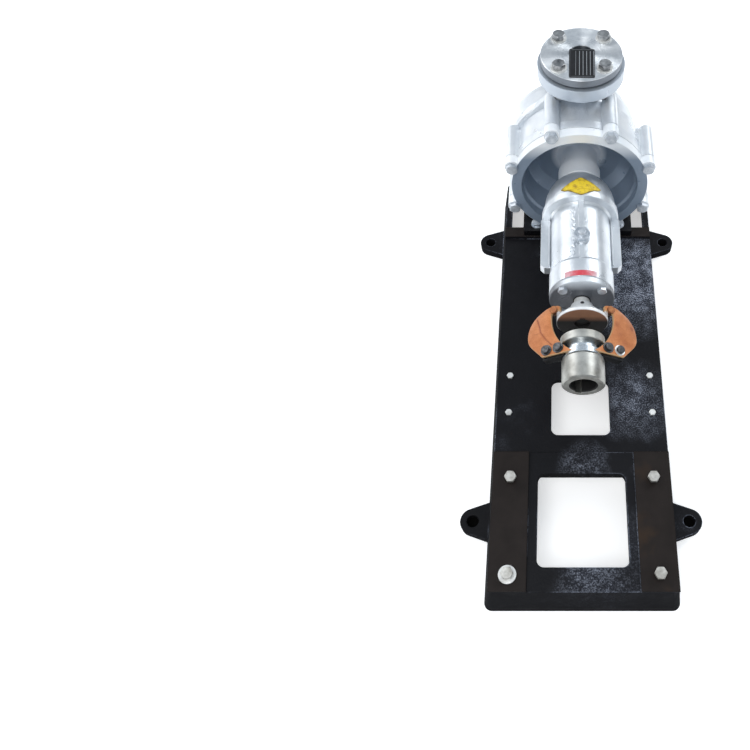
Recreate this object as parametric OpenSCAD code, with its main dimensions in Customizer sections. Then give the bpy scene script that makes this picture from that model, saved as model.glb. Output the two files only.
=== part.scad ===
// Hot oil centrifugal pump on its cast baseplate, with the flexible strap coupling.
// X runs across the base, Y along the shaft from the coupling end to the suction end, Z up.
// The origin is the centre of the four foundation holes, at floor level.

/* [Baseplate] */
// Length of the baseplate at the floor
base_l = 800; // [780:1:840]
// Width of the baseplate at the floor
base_w = 294; // [286:1:310]
// Height of the deck above the floor
base_h = 76; // [70:1:90]
// Distance from the foundation hole centre to the front edge
base_front = 407; // [400:1:412]
// How far the side walls lean in from floor to deck
base_lean_x = 11.4; // [6:0.1:13]
// How far the end walls lean in from floor to deck
base_lean_y = 14; // [6:1:16]
// Wall thickness of the casting
base_wall = 11; // [9:0.5:13]
// Thickness of the deck
deck_t = 12; // [9:1:16]
// Radius of the vertical corners
base_corner = 12; // [8:1:20]
// Distance across between foundation holes
ear_x = 340; // [334:1:352]
// Distance along between foundation holes
ear_y = 554; // [540:1:560]
// Rounding radius of a foundation ear
ear_r = 20; // [17:1:24]
// Thickness of a foundation ear
ear_t = 16; // [12:1:20]
// Half width of an ear where it meets the wall
ear_root = 33; // [28:1:40]
// Diameter of a foundation hole
ear_hole_d = 19; // [16:1:22]
// Height of the machined pads above the deck
pad_h = 4; // [2:0.5:6]
// Inner edge of a motor pad, from the centre line
motor_pad_in = 81; // [76:1:90]
// Distance across between motor bolts
motor_x = 216; // [210:1:224]
// Distance along between motor bolts
motor_y = 140; // [132:1:146]
// Distance from the front edge to the front motor bolts
motor_bolt_in = 37; // [34:1:44]
// Distance from the front edge to the step behind the motor pads
step_in = 221.5; // [214:0.5:228]
// Drop of the middle deck below the motor deck
step_drop = 3; // [1:0.5:5]
// Width of the motor window
big_window_w = 134; // [124:1:140]
// Length of the motor window
big_window_l = 139; // [130:1:144]
// Distance from the front edge to the motor window
big_window_in = 48; // [44:1:54]
// Width of the window under the coupling
small_window_w = 94; // [84:1:104]
// Length of the window under the coupling
small_window_l = 97; // [90:1:104]
// Distance from the front edge to the window under the coupling
small_window_in = 251.5; // [246:0.5:258]
// Rounding radius of the window corners
window_corner = 11; // [6:1:16]
// Distance from the edge of the deck to the guard screws
guard_edge = 19.8; // [17:0.2:24]
// Distance along between the guard screws
guard_y = 66.5; // [60:0.5:72]
// Distance from the front edge to the front guard screws
guard_in = 290; // [286:1:296]
// Distance from the origin to the front edge of the pump pad
pump_pad_y = 240; // [236:1:244]
// Length of the solid part of the pump pad, in front of the slots
pump_pad_l = 22; // [20:1:26]
// Half width of the middle opening between the pump pad beams
beam_in = 52; // [46:1:56]
// Length of the openings beside and between the pump pad beams
slot_l = 102; // [96:1:106]

/* [Shaft line] */
// Height of the shaft centre above the machined pads
axis_h = 132; // [130:1:136]
// Distance from the origin to the discharge centre line
discharge_y = 350; // [347:1:352]
// Running clearance between turning and fixed parts, on the radius
run_gap = 0.06; // [0.03:0.01:0.08]
// Clearance of bolts in their holes, on the radius
bolt_gap = 0.6; // [0.4:0.1:0.8]
// Clearance of screws in their threads, on the radius
thread_gap = 0.08; // [0.04:0.01:0.12]

/* [Casing] */
// Distance from the cover joint to the discharge centre line
casing_front = 94; // [92:1:96]
// Radius of the register bore that takes the cover
register_r = 104; // [103:0.5:105]
// Width of the joint face outside the register
joint_w = 11; // [9:1:13]
// Setback of the casing barrel behind the rim, on the radius
barrel_in = 2; // [1:0.5:3]
// Width of the front rim of the casing
rim_w = 17; // [14:1:20]
// Number of cover bolts
cover_bolts_n = 8; // [8:1:8]
// Distance of the cover bolts outside the rim
cover_bolt_out = 6; // [5:0.5:7]
// Radius of a bolt boss
boss_r = 12; // [11:0.5:13]
// Length of a bolt boss behind the joint
boss_l = 74; // [68:1:80]
// Outer radius of the volute
volute_r = 112; // [110:1:114]
// Offset of the volute to the outlet side
volute_off = 12; // [10:0.5:13]
// Width of the volute
volute_w = 58; // [54:1:62]
// Wall thickness of the casing
casing_wall = 10; // [8:0.5:11]
// Rounding radius of the volute shoulders
shoulder_r = 16; // [12:1:20]
// Height of the discharge face above the shaft centre
discharge_h = 160; // [158:1:166]
// Diameter of the discharge flange
discharge_flange_d = 138; // [136:1:142]
// Thickness of the discharge flange
discharge_flange_t = 20; // [16:1:22]
// Diameter of the discharge port
discharge_port_d = 32; // [30:1:34]
// Diameter of the discharge neck
neck_d = 62; // [58:1:66]
// Pitch circle diameter of the discharge bolts
discharge_pcd = 100; // [98:1:102]
// Distance from the discharge centre line to the suction face
suction_reach = 80; // [78:1:86]
// Diameter of the suction flange
suction_flange_d = 165; // [162:1:168]
// Thickness of the suction flange
suction_flange_t = 20; // [16:1:22]
// Pitch circle diameter of the suction bolts
suction_pcd = 125; // [123:1:127]
// Diameter of a suction bolt hole
suction_hole_d = 18; // [16:1:19]
// Diameter of the suction port
suction_port_d = 50; // [48:1:52]
// Outer half width of the casing feet
foot_out = 100; // [98:1:102]
// Inner half width of the casing feet
foot_in = 50; // [46:1:52]
// Thickness of the casing feet
foot_t = 14; // [12:1:16]
// Length of the casing feet
foot_l = 100; // [98:1:104]
// Distance across between foot bolts
foot_bolt_x = 152; // [148:1:156]
// Distance along between foot bolts
foot_bolt_y = 70; // [66:1:72]

/* [Cover] */
// Thickness of the cover flange
cover_t = 18; // [16:1:20]
// Wall between the mouth of the recess and the register
recess_wall = 6; // [5.5:0.5:7]
// Step from the mouth of the recess down to the bowl, on the radius
bowl_in = 4; // [3:0.5:6]
// Depth at which the recess wall turns into the bowl
bowl_y = 18; // [15:1:22]
// Depth of the recess
recess_depth = 76; // [72:1:78]
// Thickness of the recess bottom
cover_bottom_t = 18; // [15:1:19]
// Wall thickness of the bowl
bowl_wall = 8; // [7:0.5:9]
// Radius of the cooling neck
cool_neck_r = 32; // [31:0.5:33]
// Radius of the ring at the front of the cooling neck
cool_ring_r = 35.7; // [35:0.1:37]
// Length of the ring at the front of the cooling neck
cool_ring_l = 32; // [28:1:36]
// Setback of the ring from the cover face
cool_ring_back = 3; // [2:0.5:5]

/* [Bearing housing] */
// Gap between the cooling neck and the housing dome
dome_gap = 5; // [3:0.5:7]
// Radius of the dome where it meets the cooling neck
dome_r = 32; // [31:0.5:34]
// Length of the dome
dome_l = 59; // [54:1:62]
// Radius of the housing ring
ring_r = 62.5; // [60:0.5:65]
// Width of the housing ring
ring_w = 15; // [12:1:18]
// Radius of the housing barrel
housing_r = 50; // [48:0.5:52]
// Length of the housing barrel
housing_l = 144.5; // [140:0.5:148]
// Width over the side ribs
wing_w = 128; // [122:1:132]
// Thickness of the side ribs
wing_t = 16; // [12:1:20]
// Distance from the barrel front to the side ribs
wing_in = 48; // [44:1:54]
// Width of the top rib
top_rib_w = 9; // [7:0.5:12]
// Height of the top rib over the barrel
top_rib_h = 3.5; // [2:0.5:5]
// Distance from the barrel front to the breather
breather_in = 71; // [66:1:76]
// Thickness of the drive end cap
cap_t = 10; // [8:0.5:12]
// Pitch circle radius of the cap bolts
cap_bolt_r = 41.5; // [41:0.5:43]

/* [Bearings] */
// Bore of a bearing
brg_bore = 30; // [28:1:32]
// Outer diameter of a bearing
brg_od = 72; // [70:1:73]
// Width of a bearing
brg_w = 19; // [17:1:21]
// Diameter of a ball
ball_d = 12.3; // [11.5:0.1:12.5]
// Number of balls
ball_n = 8; // [7:1:9]

/* [Rotor] */
// Shaft diameter at the coupling
shaft_end_d = 24; // [22:1:26]
// Shaft diameter between the bearings
shaft_mid_d = 38; // [36:1:40]
// Shaft diameter at the impeller
shaft_tip_d = 22; // [20:1:24]
// Impeller diameter
impeller_d = 160; // [154:1:164]
// Number of impeller blades
blade_n = 6; // [5:1:7]
// Width of the impeller passage at the rim
passage_w = 9; // [7:0.5:11]
// Thickness of the impeller shrouds and blades
shroud_t = 4; // [3:0.5:5]
// Radius of the impeller eye
eye_r = 29; // [27:0.5:31]
// Radius of the shaft sleeve
sleeve_r = 19; // [18.5:0.5:20]
// Radius of the throttle bush and of the neck bore
bush_r = 24; // [23.5:0.5:25]

/* [Coupling] */
// Diameter of the pump half flange
pump_half_d = 77.5; // [74:0.5:80]
// Length of the pump half
pump_half_l = 31; // [29:0.5:33]
// Rim width of the pump half
pump_rim_w = 5; // [4:0.5:7]
// Radius of the pump half hub
pump_hub_r = 16.5; // [16:0.5:18]
// Gap from the pump half to the cap
cap_clear = 10.5; // [9:0.5:12]
// Gap between the coupling halves
half_gap = 28; // [26:1:30]
// Diameter of the motor half flange
motor_half_d = 66; // [64:1:68]
// Width of the motor half flange
motor_half_w = 14; // [12:1:16]
// Diameter of the step ring
step_ring_d = 48; // [46:1:50]
// Width of the step ring
step_ring_w = 6; // [5:0.5:8]
// Diameter of the neck of the motor half
motor_neck_d = 36; // [34:1:40]
// Length of the neck of the motor half
motor_neck_l = 14; // [13:1:16]
// Diameter of the barrel of the motor half
motor_barrel_d = 62.5; // [60:0.5:64]
// Length of the barrel of the motor half
motor_barrel_l = 42; // [38:1:46]
// Bore for the motor shaft
motor_bore_d = 38; // [37:0.5:39]
// Depth of the bore for the motor shaft
motor_bore_l = 40; // [36:1:41]
// Distance of the middle of a strap from the shaft
strap_x = 35; // [34:0.5:37]
// Height of a strap over the shaft, at its middle
strap_up = 16; // [15:0.5:18]
// Slope of a strap, its outer edge down
strap_tilt = 26.5; // [24:0.5:28]
// Radius of the outer edge round the bend of a strap
strap_bend = 38.5; // [37:0.5:40]
// Radius of the long inner edge of a strap
strap_inner = 75; // [73:1:80]
// Width of the end on the motor half
strap_end_w = 50; // [46:0.5:52]
// Width of the end on the pump half
strap_tab_w = 14; // [13:0.5:16]
// Thickness of a strap
strap_t = 4.5; // [4:0.5:5]

/* [Hidden] */
$fn = 96;

// Heights and lengths that follow from the driving sizes
y_front = -base_front;
y_rear = base_l - base_front;
pad_z = base_h + pad_h;
axis_z = pad_z + axis_h;
joint_y = discharge_y - casing_front;
flange_r = register_r + joint_w;
barrel_r = flange_r - barrel_in;
cover_bolt_r = flange_r + cover_bolt_out;
recess_r = register_r - recess_wall;
bowl_r = recess_r - bowl_in;
cover_y = joint_y - cover_t;
recess_y = cover_y + recess_depth;
cover_back = recess_y + cover_bottom_t;
suction_y = discharge_y + suction_reach;
ring_y = cover_y + cool_ring_back;
dome_y = ring_y - dome_gap;
collar_y = dome_y - dome_l;
shoulder_y = collar_y - ring_w;
barrel_y = shoulder_y - housing_l;
cap_y = barrel_y - cap_t;
pump_half_y = cap_y - cap_clear - pump_half_l;
motor_flange_y = pump_half_y - half_gap;
motor_step_y = motor_flange_y - motor_half_w;
motor_neck_y = motor_step_y - step_ring_w;
motor_barrel_y = motor_neck_y - motor_neck_l;
motor_end_y = motor_barrel_y - motor_barrel_l;

// Standard fasteners: across flats, head height and washer of each thread size
function flats(d) = d == 12 ? 18 : d == 10 ? 16 : d == 8 ? 13 : 10;
function head_h(d) = 0.625 * d;
function washer_r(d) = 1.05 * d;
washer_t = 2.5;
motor_thread = 10;
guard_thread = 6;
foot_thread = 10;
cover_thread = 12;
flange_thread = 12;
cap_thread = 8;
motor_bolt_proud = 9;

// Where the bearings, seals and rotor parts sit along the shaft
cap_spigot = 4;
front_brg_y = barrel_y + cap_spigot;
rear_brg_y = shoulder_y - 44;
inner_seal_w = 8;
inner_seal_y = rear_brg_y + brg_w + 4;
race_r = (brg_bore + brg_od) / 4;
race_gap = 0.1;
ring_land = 3.8;
spigot_l = 21;
spigot_r = 28;
seat_y = ring_y + spigot_l + 1;
seat_l = 8;
face_ring_l = 8;
spring_l = 29;
seal_collar_l = 12;
face_ring_y = seat_y - face_ring_l;
spring_y = face_ring_y - spring_l;
seal_collar_y = spring_y - seal_collar_l;
bush_y = seat_y + seat_l + 4;
sleeve_y = bush_y - 3;
shroud_back_y = discharge_y - passage_w / 2 - shroud_t;
shroud_front_y = discharge_y + passage_w / 2 + shroud_t;
sleeve_end_y = shroud_back_y - 2;
hub_r = 20;
hub_end_y = shroud_front_y - 2;
nut_l = 12;
nut_flats = 30;
axial_gap = 1.5;

// Turned solid about the shaft, from a profile of radius and distance along Y
module turned() {
    translate([0, 0, axis_z]) rotate([-90, 0, 0]) rotate_extrude() children();
}

// Anything laid out along Z, moved onto the shaft line at distance y
module on_shaft(y) {
    translate([0, y, axis_z]) rotate([-90, 0, 0]) children();
}

// Ring about the shaft
module ring(y, l, r_out, r_in) {
    turned() polygon([[r_in, y], [r_out, y], [r_out, y + l], [r_in, y + l]]);
}

// Outline in the XZ plane about the shaft, extruded from y over a length l
module plate_xz(y, l) {
    translate([0, y + l, axis_z]) rotate([90, 0, 0]) linear_extrude(l) children();
}

// Hexagon prism standing on z = 0
module hex(af, h) {
    cylinder(d = af / cos(30), h = h, $fn = 6);
}

// Hex bolt: the head stands on z = 0 and the shank reaches down
module hex_bolt(d, l) {
    intersection() {
        hex(flats(d), head_h(d));
        translate([0, 0, -1]) cylinder(r1 = flats(d) * 0.6 + head_h(d) + 1, r2 = flats(d) * 0.48,
            h = head_h(d) + 1);
    }
    translate([0, 0, -l]) cylinder(d = d, h = l + 0.5);
}

module washer(d) {
    difference() {
        cylinder(r = washer_r(d), h = washer_t);
        translate([0, 0, -1]) cylinder(r = d / 2 + 0.3, h = washer_t + 2);
    }
}

// Copies at the four corners of a rectangle centred on [0, y]
module corners(dx, dy, y) {
    for (sx = [-1, 1], sy = [-1, 1]) translate([sx * dx / 2, y + sy * dy / 2, 0]) children();
}

// Copies on a circle about Z, the first at angle a0
module around(n, r, a0 = 0) {
    for (i = [0:n - 1]) rotate([0, 0, a0 + i * 360 / n]) translate([r, 0, 0]) children();
}

// Straight opening with round corners, made of true cylinders
module window(w, y0, y1, z0, z1, r) {
    translate([0, 0, z0]) linear_extrude(z1 - z0) {
        translate([-w / 2 + r, y0]) square([w - 2 * r, y1 - y0]);
        translate([-w / 2, y0 + r]) square([w, y1 - y0 - 2 * r]);
        for (sx = [-1, 1], y = [y0 + r, y1 - r]) translate([sx * (w / 2 - r), y]) circle(r);
    }
}

// Baseplate

deck_w = base_w - 2 * base_lean_x;
guard_x = deck_w - 2 * guard_edge;

// Tapered block of the base casting, shrunk by a wall of t on every side
module base_block(t, z0, z1) {
    lean_x = base_lean_x / base_h;
    lean_y = base_lean_y / base_h;
    hull() for (z = [z0, z1 - 0.01]) {
        dx = t + lean_x * z;
        dy = t + lean_y * z;
        r = max(base_corner - t, 3);
        translate([0, 0, z]) linear_extrude(0.01)
            for (sx = [-1, 1], y = [y_front + dy + r, y_rear - dy - r])
                translate([sx * (base_w / 2 - dx - r), y]) circle(r, $fn = 32);
    }
}

// Foundation ear: a round end and two tangent sides that widen to the wall
module ear() {
    reach = ear_x / 2 - base_w / 2 + base_wall;
    tangent = atan2(ear_root, reach) - asin(ear_r / norm([reach, ear_root]));
    tip = [ear_r * sin(tangent), ear_r * cos(tangent)];
    linear_extrude(ear_t) {
        circle(ear_r);
        polygon([[-reach, -ear_root], [tip[0], -tip[1]], [tip[0], tip[1]], [-reach, ear_root]]);
    }
}

module baseplate() {
    color("#2b2a2a") difference() {
        union() {
            difference() {
                base_block(0, 0, base_h);
                base_block(base_wall, -1, base_h - deck_t);
                // middle deck, a little lower than the motor deck
                translate([-base_w, y_front + step_in, base_h - step_drop])
                    cube([2 * base_w, pump_pad_y - y_front - step_in, base_h]);
                translate([-base_w, pump_pad_y + foot_l + 2, base_h - step_drop])
                    cube([2 * base_w, base_l, base_h]);
            }
            // motor pads
            for (sx = [-1, 1]) translate([sx * (motor_pad_in + deck_w / 2) / 2 - (deck_w / 2 - motor_pad_in) / 2,
                y_front + base_lean_y, base_h - 1])
                cube([deck_w / 2 - motor_pad_in, step_in - base_lean_y, pad_h + 1]);
            // pump pad across the base and its two beams
            translate([-deck_w / 2, pump_pad_y, base_h - deck_t]) cube([deck_w, pump_pad_l, deck_t + pad_h]);
            for (sx = [-1, 1]) translate([sx * (beam_in + foot_out + 2) / 2 - (foot_out + 2 - beam_in) / 2,
                pump_pad_y, base_h - 4 * deck_t])
                cube([foot_out + 2 - beam_in, slot_l + pump_pad_l + deck_t, 4 * deck_t + pad_h]);
            // cross ribs under the deck
            for (y = rib_places) translate([-base_w / 2 + base_wall, y - rib_t / 2, rib_clear])
                cube([base_w - 2 * base_wall, rib_t, base_h - step_drop - 1 - rib_clear]);
            // bosses under the motor bolts
            corners(motor_x, motor_y, motor_mid_y) translate([0, 0, base_h - 3 * deck_t])
                cylinder(r = 13, h = 3 * deck_t);
            for (sx = [-1, 1], sy = [-1, 1]) translate([sx * ear_x / 2, sy * ear_y / 2, 0])
                rotate([0, 0, sx > 0 ? 0 : 180]) ear();
        }
        window(big_window_w, y_front + big_window_in, y_front + big_window_in + big_window_l,
            -1, base_h + 9, window_corner);
        window(small_window_w, y_front + small_window_in, y_front + small_window_in + small_window_l,
            -1, base_h + 9, window_corner);
        // openings between and beside the pump pad beams
        window(2 * beam_in, slot_y, slot_y + slot_l, -1, base_h + 9, window_corner);
        for (sx = [-1, 1]) translate([sx * (foot_out + 2 + side_slot / 2), 0, 0])
            window(side_slot, slot_y, slot_y + slot_l, -1, base_h + 9, side_slot / 4);
        corners(ear_x, ear_y, 0) translate([0, 0, -1]) cylinder(d = ear_hole_d, h = ear_t + 2);
        corners(motor_x, motor_y, motor_mid_y) translate([0, 0, base_h - 3 * deck_t - 1])
            cylinder(r = motor_thread / 2 + thread_gap, h = 3 * deck_t + pad_h + 2);
        corners(guard_x, guard_y, guard_mid_y) translate([0, 0, base_h - step_drop - deck_t - 1])
            cylinder(r = guard_thread / 2 + thread_gap, h = deck_t + 2);
        corners(foot_bolt_x, foot_bolt_y, foot_mid_y) translate([0, 0, base_h - 4 * deck_t - 1])
            cylinder(r = foot_thread / 2 + thread_gap, h = 4 * deck_t + pad_h + 2);
    }
}

rib_t = 10;
rib_clear = 24;
rib_places = [y_front + big_window_in + big_window_l + 16,
    (y_front + small_window_in + small_window_l + pump_pad_y) / 2];
motor_mid_y = y_front + motor_bolt_in + motor_y / 2;
guard_mid_y = y_front + guard_in + guard_y / 2;
foot_mid_y = pump_pad_y + 2 + foot_l / 2;
slot_y = pump_pad_y + pump_pad_l;
side_slot = deck_w / 2 - foot_out - 2 - base_wall;

module motor_bolts() {
    color("#c9c6bd") corners(motor_x, motor_y, motor_mid_y)
        translate([0, 0, pad_z + motor_bolt_proud]) hex_bolt(motor_thread, 30 + motor_bolt_proud);
}

module motor_washer() {
    color("#d9d9d6") translate([-motor_x / 2, motor_mid_y - motor_y / 2, pad_z]) difference() {
        cylinder(r = 13, h = washer_t);
        translate([0, 0, -1]) cylinder(r = motor_thread / 2 + bolt_gap, h = washer_t + 2);
    }
}

module guard_screws() {
    color("#d6d6d2") corners(guard_x, guard_y, guard_mid_y)
        translate([0, 0, base_h - step_drop]) hex_bolt(guard_thread, deck_t);
}

// Casing

discharge_z = axis_z + discharge_h;
neck_flare = 6;
suction_neck_r = suction_port_d / 2 + casing_wall + 2;
volute_y = discharge_y - volute_w / 2;
cheek_y = shroud_front_y + axial_gap;
foot_z = pad_z;

// Outline of the volute and its straight outlet, in the plane across the shaft
module volute_shape(r, side, top) {
    a = 152;
    translate([-volute_off, 0]) circle(r);
    polygon([[-volute_off + r * cos(a), r * sin(a)], [-side - 22, top - 30], [-side, top],
        [side, top], [side, 0], [-volute_off, 0]]);
}

module casing_outside() {
    ring(joint_y, rim_w, flange_r, register_r - 4);
    turned() polygon([[0, joint_y + 5], [barrel_r, joint_y + 5], [barrel_r, volute_y],
        [barrel_r - 14, volute_y + 14], [0, volute_y + 14]]);
    // bolt bosses with coned ends
    on_shaft(joint_y) around(cover_bolts_n, cover_bolt_r, 180 / cover_bolts_n) {
        rotate_extrude() polygon([[0, 0], [boss_r, 0], [boss_r, boss_l - boss_r / 2], [boss_r / 2, boss_l],
            [0, boss_l]]);
        translate([-cover_bolt_r + barrel_r - 10, 1 - boss_r, 0])
            cube([cover_bolt_r - barrel_r + 10, 2 * boss_r - 2, boss_l - boss_r]);
    }
    // volute disc with round shoulders, offset to the outlet side
    translate([-volute_off, 0, axis_z]) rotate([-90, 0, 0]) rotate_extrude() {
        translate([0, volute_y]) square([volute_r - shoulder_r, volute_w]);
        translate([0, volute_y + shoulder_r]) square([volute_r, volute_w - 2 * shoulder_r]);
        for (y = [volute_y + shoulder_r, volute_y + volute_w - shoulder_r])
            translate([volute_r - shoulder_r, y]) circle(shoulder_r);
    }
    plate_xz(volute_y + 4, volute_w - 8) volute_shape(volute_r - 2, neck_d / 2 - 2, discharge_h - 34);
    // discharge neck and flange
    translate([0, discharge_y, axis_z + 60]) cylinder(d = neck_d, h = discharge_h - 60 - 4);
    translate([0, discharge_y, discharge_z - discharge_flange_t - neck_flare])
        cylinder(r1 = neck_d / 2, r2 = neck_d / 2 + neck_flare, h = neck_flare + 1);
    translate([0, discharge_y, discharge_z - discharge_flange_t])
        cylinder(d = discharge_flange_d, h = discharge_flange_t);
    // web between the outlet and the front of the volute
    plate_xz(volute_y + 2, 12) polygon([[-volute_off - volute_r * cos(28), volute_r * sin(28)],
        [-neck_d / 2 - 20, discharge_h - discharge_flange_t - 22], [-neck_d / 2, discharge_h - 30],
        [0, discharge_h - 40], [0, 60]]);
    // suction neck and flange
    turned() polygon([[0, volute_y + volute_w - 6], [suction_neck_r + 14, volute_y + volute_w - 6],
        [suction_neck_r + 4, volute_y + volute_w + 4], [suction_neck_r, volute_y + volute_w + 14],
        [suction_neck_r, suction_y - 4], [0, suction_y - 4]]);
    ring(suction_y - suction_flange_t, suction_flange_t, suction_flange_d / 2, 10);
    // drain boss
    translate([-volute_off, discharge_y, axis_z - volute_r - 2]) cylinder(r = 15, h = 20);
    // feet with their webs
    for (sx = [-1, 1]) {
        translate([sx > 0 ? foot_in : -foot_out, foot_mid_y - foot_l / 2, foot_z])
            cube([foot_out - foot_in, foot_l, foot_t]);
        for (y = [foot_mid_y - foot_web_t / 2, foot_mid_y + foot_l / 2 - foot_web_t])
            translate([0, y, 0]) rotate([90, 0, 0]) translate([0, 0, -foot_web_t])
                linear_extrude(foot_web_t) polygon([[sx * foot_in, foot_z + 2],
                    [sx * (foot_out - 3), foot_z + foot_t - 1], [sx * (foot_out - 6), axis_z - 60],
                    [sx * 84, axis_z - 50], [sx * foot_in, axis_z - 80]]);
    }
}

foot_web_t = 14;

module casing_inside() {
    // register bore, stepped back to the impeller chamber
    turned() polygon([[0, joint_y - 1], [register_r, joint_y - 1], [register_r, joint_y + register_l],
        [register_r - 3, joint_y + register_l], [register_r - 3, cover_back + 0.5], [0, cover_back + 0.5]]);
    // impeller chamber and volute
    ring(cover_back - 1, cheek_y - cover_back + 1, impeller_d / 2 + 8, 0);
    translate([-volute_off, discharge_y - 13, axis_z]) rotate([-90, 0, 0])
        cylinder(r = volute_r - casing_wall - 2, h = 26);
    throat = discharge_port_d / 2 - 2;
    plate_xz(discharge_y - throat, 2 * throat)
        polygon([[-volute_off - volute_r + casing_wall + 6, 30], [-throat - 9, discharge_h - 66],
            [-throat, discharge_h - 54], [throat, discharge_h - 54], [4, 66]]);
    translate([0, discharge_y, axis_z + discharge_h - 60]) cylinder(d = discharge_port_d, h = 70);
    translate([0, discharge_y, discharge_z - discharge_flange_t - 1])
        around(4, discharge_pcd / 2, 45) cylinder(r = flange_thread / 2 + bolt_gap + 0.4,
            h = discharge_flange_t + 2);
    // suction way, with the seat of the wear ring
    turned() polygon([[0, cheek_y - 1], [wear_out, cheek_y - 1], [wear_out, wear_y + wear_l],
        [suction_port_d / 2, wear_y + wear_l + 6], [suction_port_d / 2, suction_y + 1], [0, suction_y + 1]]);
    on_shaft(suction_y - suction_flange_t - 1) around(4, suction_pcd / 2, 45)
        cylinder(d = suction_hole_d, h = suction_flange_t + 2);
    // room for the lobes of the cover in the feet
    on_shaft(cover_y - 1) around(cover_bolts_n, cover_bolt_r, 180 / cover_bolts_n)
        cylinder(r = boss_r + 1, h = cover_t + 0.5);
    // threads of the cover bolts, of the drain plug and holes of the feet
    on_shaft(joint_y - 1) around(cover_bolts_n, cover_bolt_r, 180 / cover_bolts_n)
        cylinder(r = cover_thread / 2 + thread_gap, h = 29);
    translate([-volute_off, discharge_y, 0]) cylinder(r = drain_r + thread_gap, h = axis_z - 60);
    corners(foot_bolt_x, foot_bolt_y, foot_mid_y) translate([0, 0, foot_z - 1]) {
        cylinder(r = foot_thread / 2 + bolt_gap, h = foot_t + 2);
        translate([0, 0, foot_t + 1]) cylinder(r = foot_thread + 1.5, h = 16);
    }
}

register_l = 10;
drain_r = 8;
wear_y = cheek_y;
wear_l = 12;
wear_out = eye_r + shroud_t + 5;

module casing() {
    color("#c4cad0") difference() {
        casing_outside();
        casing_inside();
    }
}

module casing_drain_plug() {
    color("#b9bdbf") translate([-volute_off, discharge_y, axis_z - volute_r - 2]) {
        translate([0, 0, -7]) hex(22, 7);
        translate([0, 0, -1]) cylinder(r = drain_r, h = 14);
    }
}

module foot_bolts() {
    color("#b9c0cc") corners(foot_bolt_x, foot_bolt_y, foot_mid_y)
        translate([0, 0, foot_z + foot_t + washer_t]) hex_bolt(foot_thread, foot_t + washer_t + 28);
}

module foot_washers() {
    color("#b9c0cc") corners(foot_bolt_x, foot_bolt_y, foot_mid_y)
        translate([0, 0, foot_z + foot_t]) washer(foot_thread);
}

// Cover with its recess and cooling neck

gasket_t = 1;

module cover_gasket() {
    color("#3a3a3c") difference() {
        ring(joint_y - gasket_t, gasket_t, flange_r - 1, register_r + 0.5);
        on_shaft(joint_y - gasket_t - 1) around(cover_bolts_n, cover_bolt_r, 180 / cover_bolts_n)
            cylinder(r = boss_r - 1, h = gasket_t + 2);
    }
}

module casing_cover() {
    back = joint_y - gasket_t;
    bush_end = cover_back - 6;
    spigot_end = ring_y + spigot_l + 0.5;
    color("#9aa3ad") difference() {
        union() {
            // cooling neck with its ring, bowl, flange, register and back, as one profile
            turned() polygon([[spigot_r + run_gap, ring_y], [cool_ring_r - 1, ring_y], [cool_ring_r, ring_y + 1],
                [cool_ring_r, ring_y + cool_ring_l - 2], [cool_neck_r, ring_y + cool_ring_l],
                [cool_neck_r, recess_y - 6], [cool_neck_r + 6, recess_y], [bowl_floor_r, recess_y],
                [bowl_r - 4, recess_y - 16], [bowl_r, cover_y + bowl_y], [recess_r, cover_y + bowl_y - 3],
                [recess_r, cover_y], [flange_r, cover_y], [flange_r, back], [register_r - run_gap, back],
                [register_r - run_gap, joint_y + register_l - 2], [register_r - 4, joint_y + register_l - 1],
                [bowl_r + bowl_wall - 3, joint_y + register_l + 6],
                [bowl_r - 4, cover_back - 4], [bowl_r - 8, cover_back], [hub_ring_r + 5, cover_back],
                [hub_ring_r + 5, cover_back - cover_wear_in], [sleeve_r + 1.5, cover_back - cover_wear_in],
                [sleeve_r + 1.5, bush_end], [bush_r, bush_end], [bush_r, spigot_end],
                [spigot_r + run_gap, spigot_end]]);
            on_shaft(cover_y) around(cover_bolts_n, cover_bolt_r, 180 / cover_bolts_n) {
                cylinder(r = boss_r, h = cover_t - gasket_t);
                translate([-boss_r - 3, 1 - boss_r, 0]) cube([boss_r + 3, 2 * boss_r - 2, cover_t - gasket_t]);
            }
        }
        on_shaft(cover_y - 1) around(cover_bolts_n, cover_bolt_r, 180 / cover_bolts_n)
            cylinder(r = cover_thread / 2 + bolt_gap, h = cover_t + 2);
        // set screws that hold the housing spigot
        on_shaft(ring_y + spigot_l / 2) for (a = [35, 145]) rotate([0, 0, a]) rotate([0, 90, 0])
            cylinder(r = set_screw_r + thread_gap, h = cool_ring_r + 5);
    }
}

bowl_floor_r = 74;
hub_ring_r = 27;
cover_wear_in = 5;
set_screw_r = 4;

module cover_bolts() {
    color("#aeb6bb") on_shaft(cover_y) around(cover_bolts_n, cover_bolt_r, 180 / cover_bolts_n)
        rotate([180, 0, 0]) hex_bolt(cover_thread, cover_t + 26);
}

module suction_wear_ring() {
    color("#a5763c") turned() polygon([[eye_r + shroud_t + run_gap * 4, wear_y], [wear_out, wear_y],
        [wear_out, wear_y + wear_l], [eye_r + shroud_t + run_gap * 4, wear_y + wear_l]]);
}

module cover_wear_ring() {
    color("#a5763c") ring(cover_back - cover_wear_in, cover_wear_in, hub_ring_r + 5, sleeve_r + 1.5);
}

// Discharge side

companion_d = 128;
companion_t = 14;
companion_bore_d = 39;
gasket_disc_t = 2;
companion_z = discharge_z + gasket_disc_t;
raised_face = 1.5;

module discharge_gasket() {
    color("#26262a") translate([0, discharge_y, discharge_z]) difference() {
        cylinder(d = companion_d - 50, h = gasket_disc_t);
        translate([0, 0, -1]) cylinder(d = discharge_port_d, h = gasket_disc_t + 2);
    }
}

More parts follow.
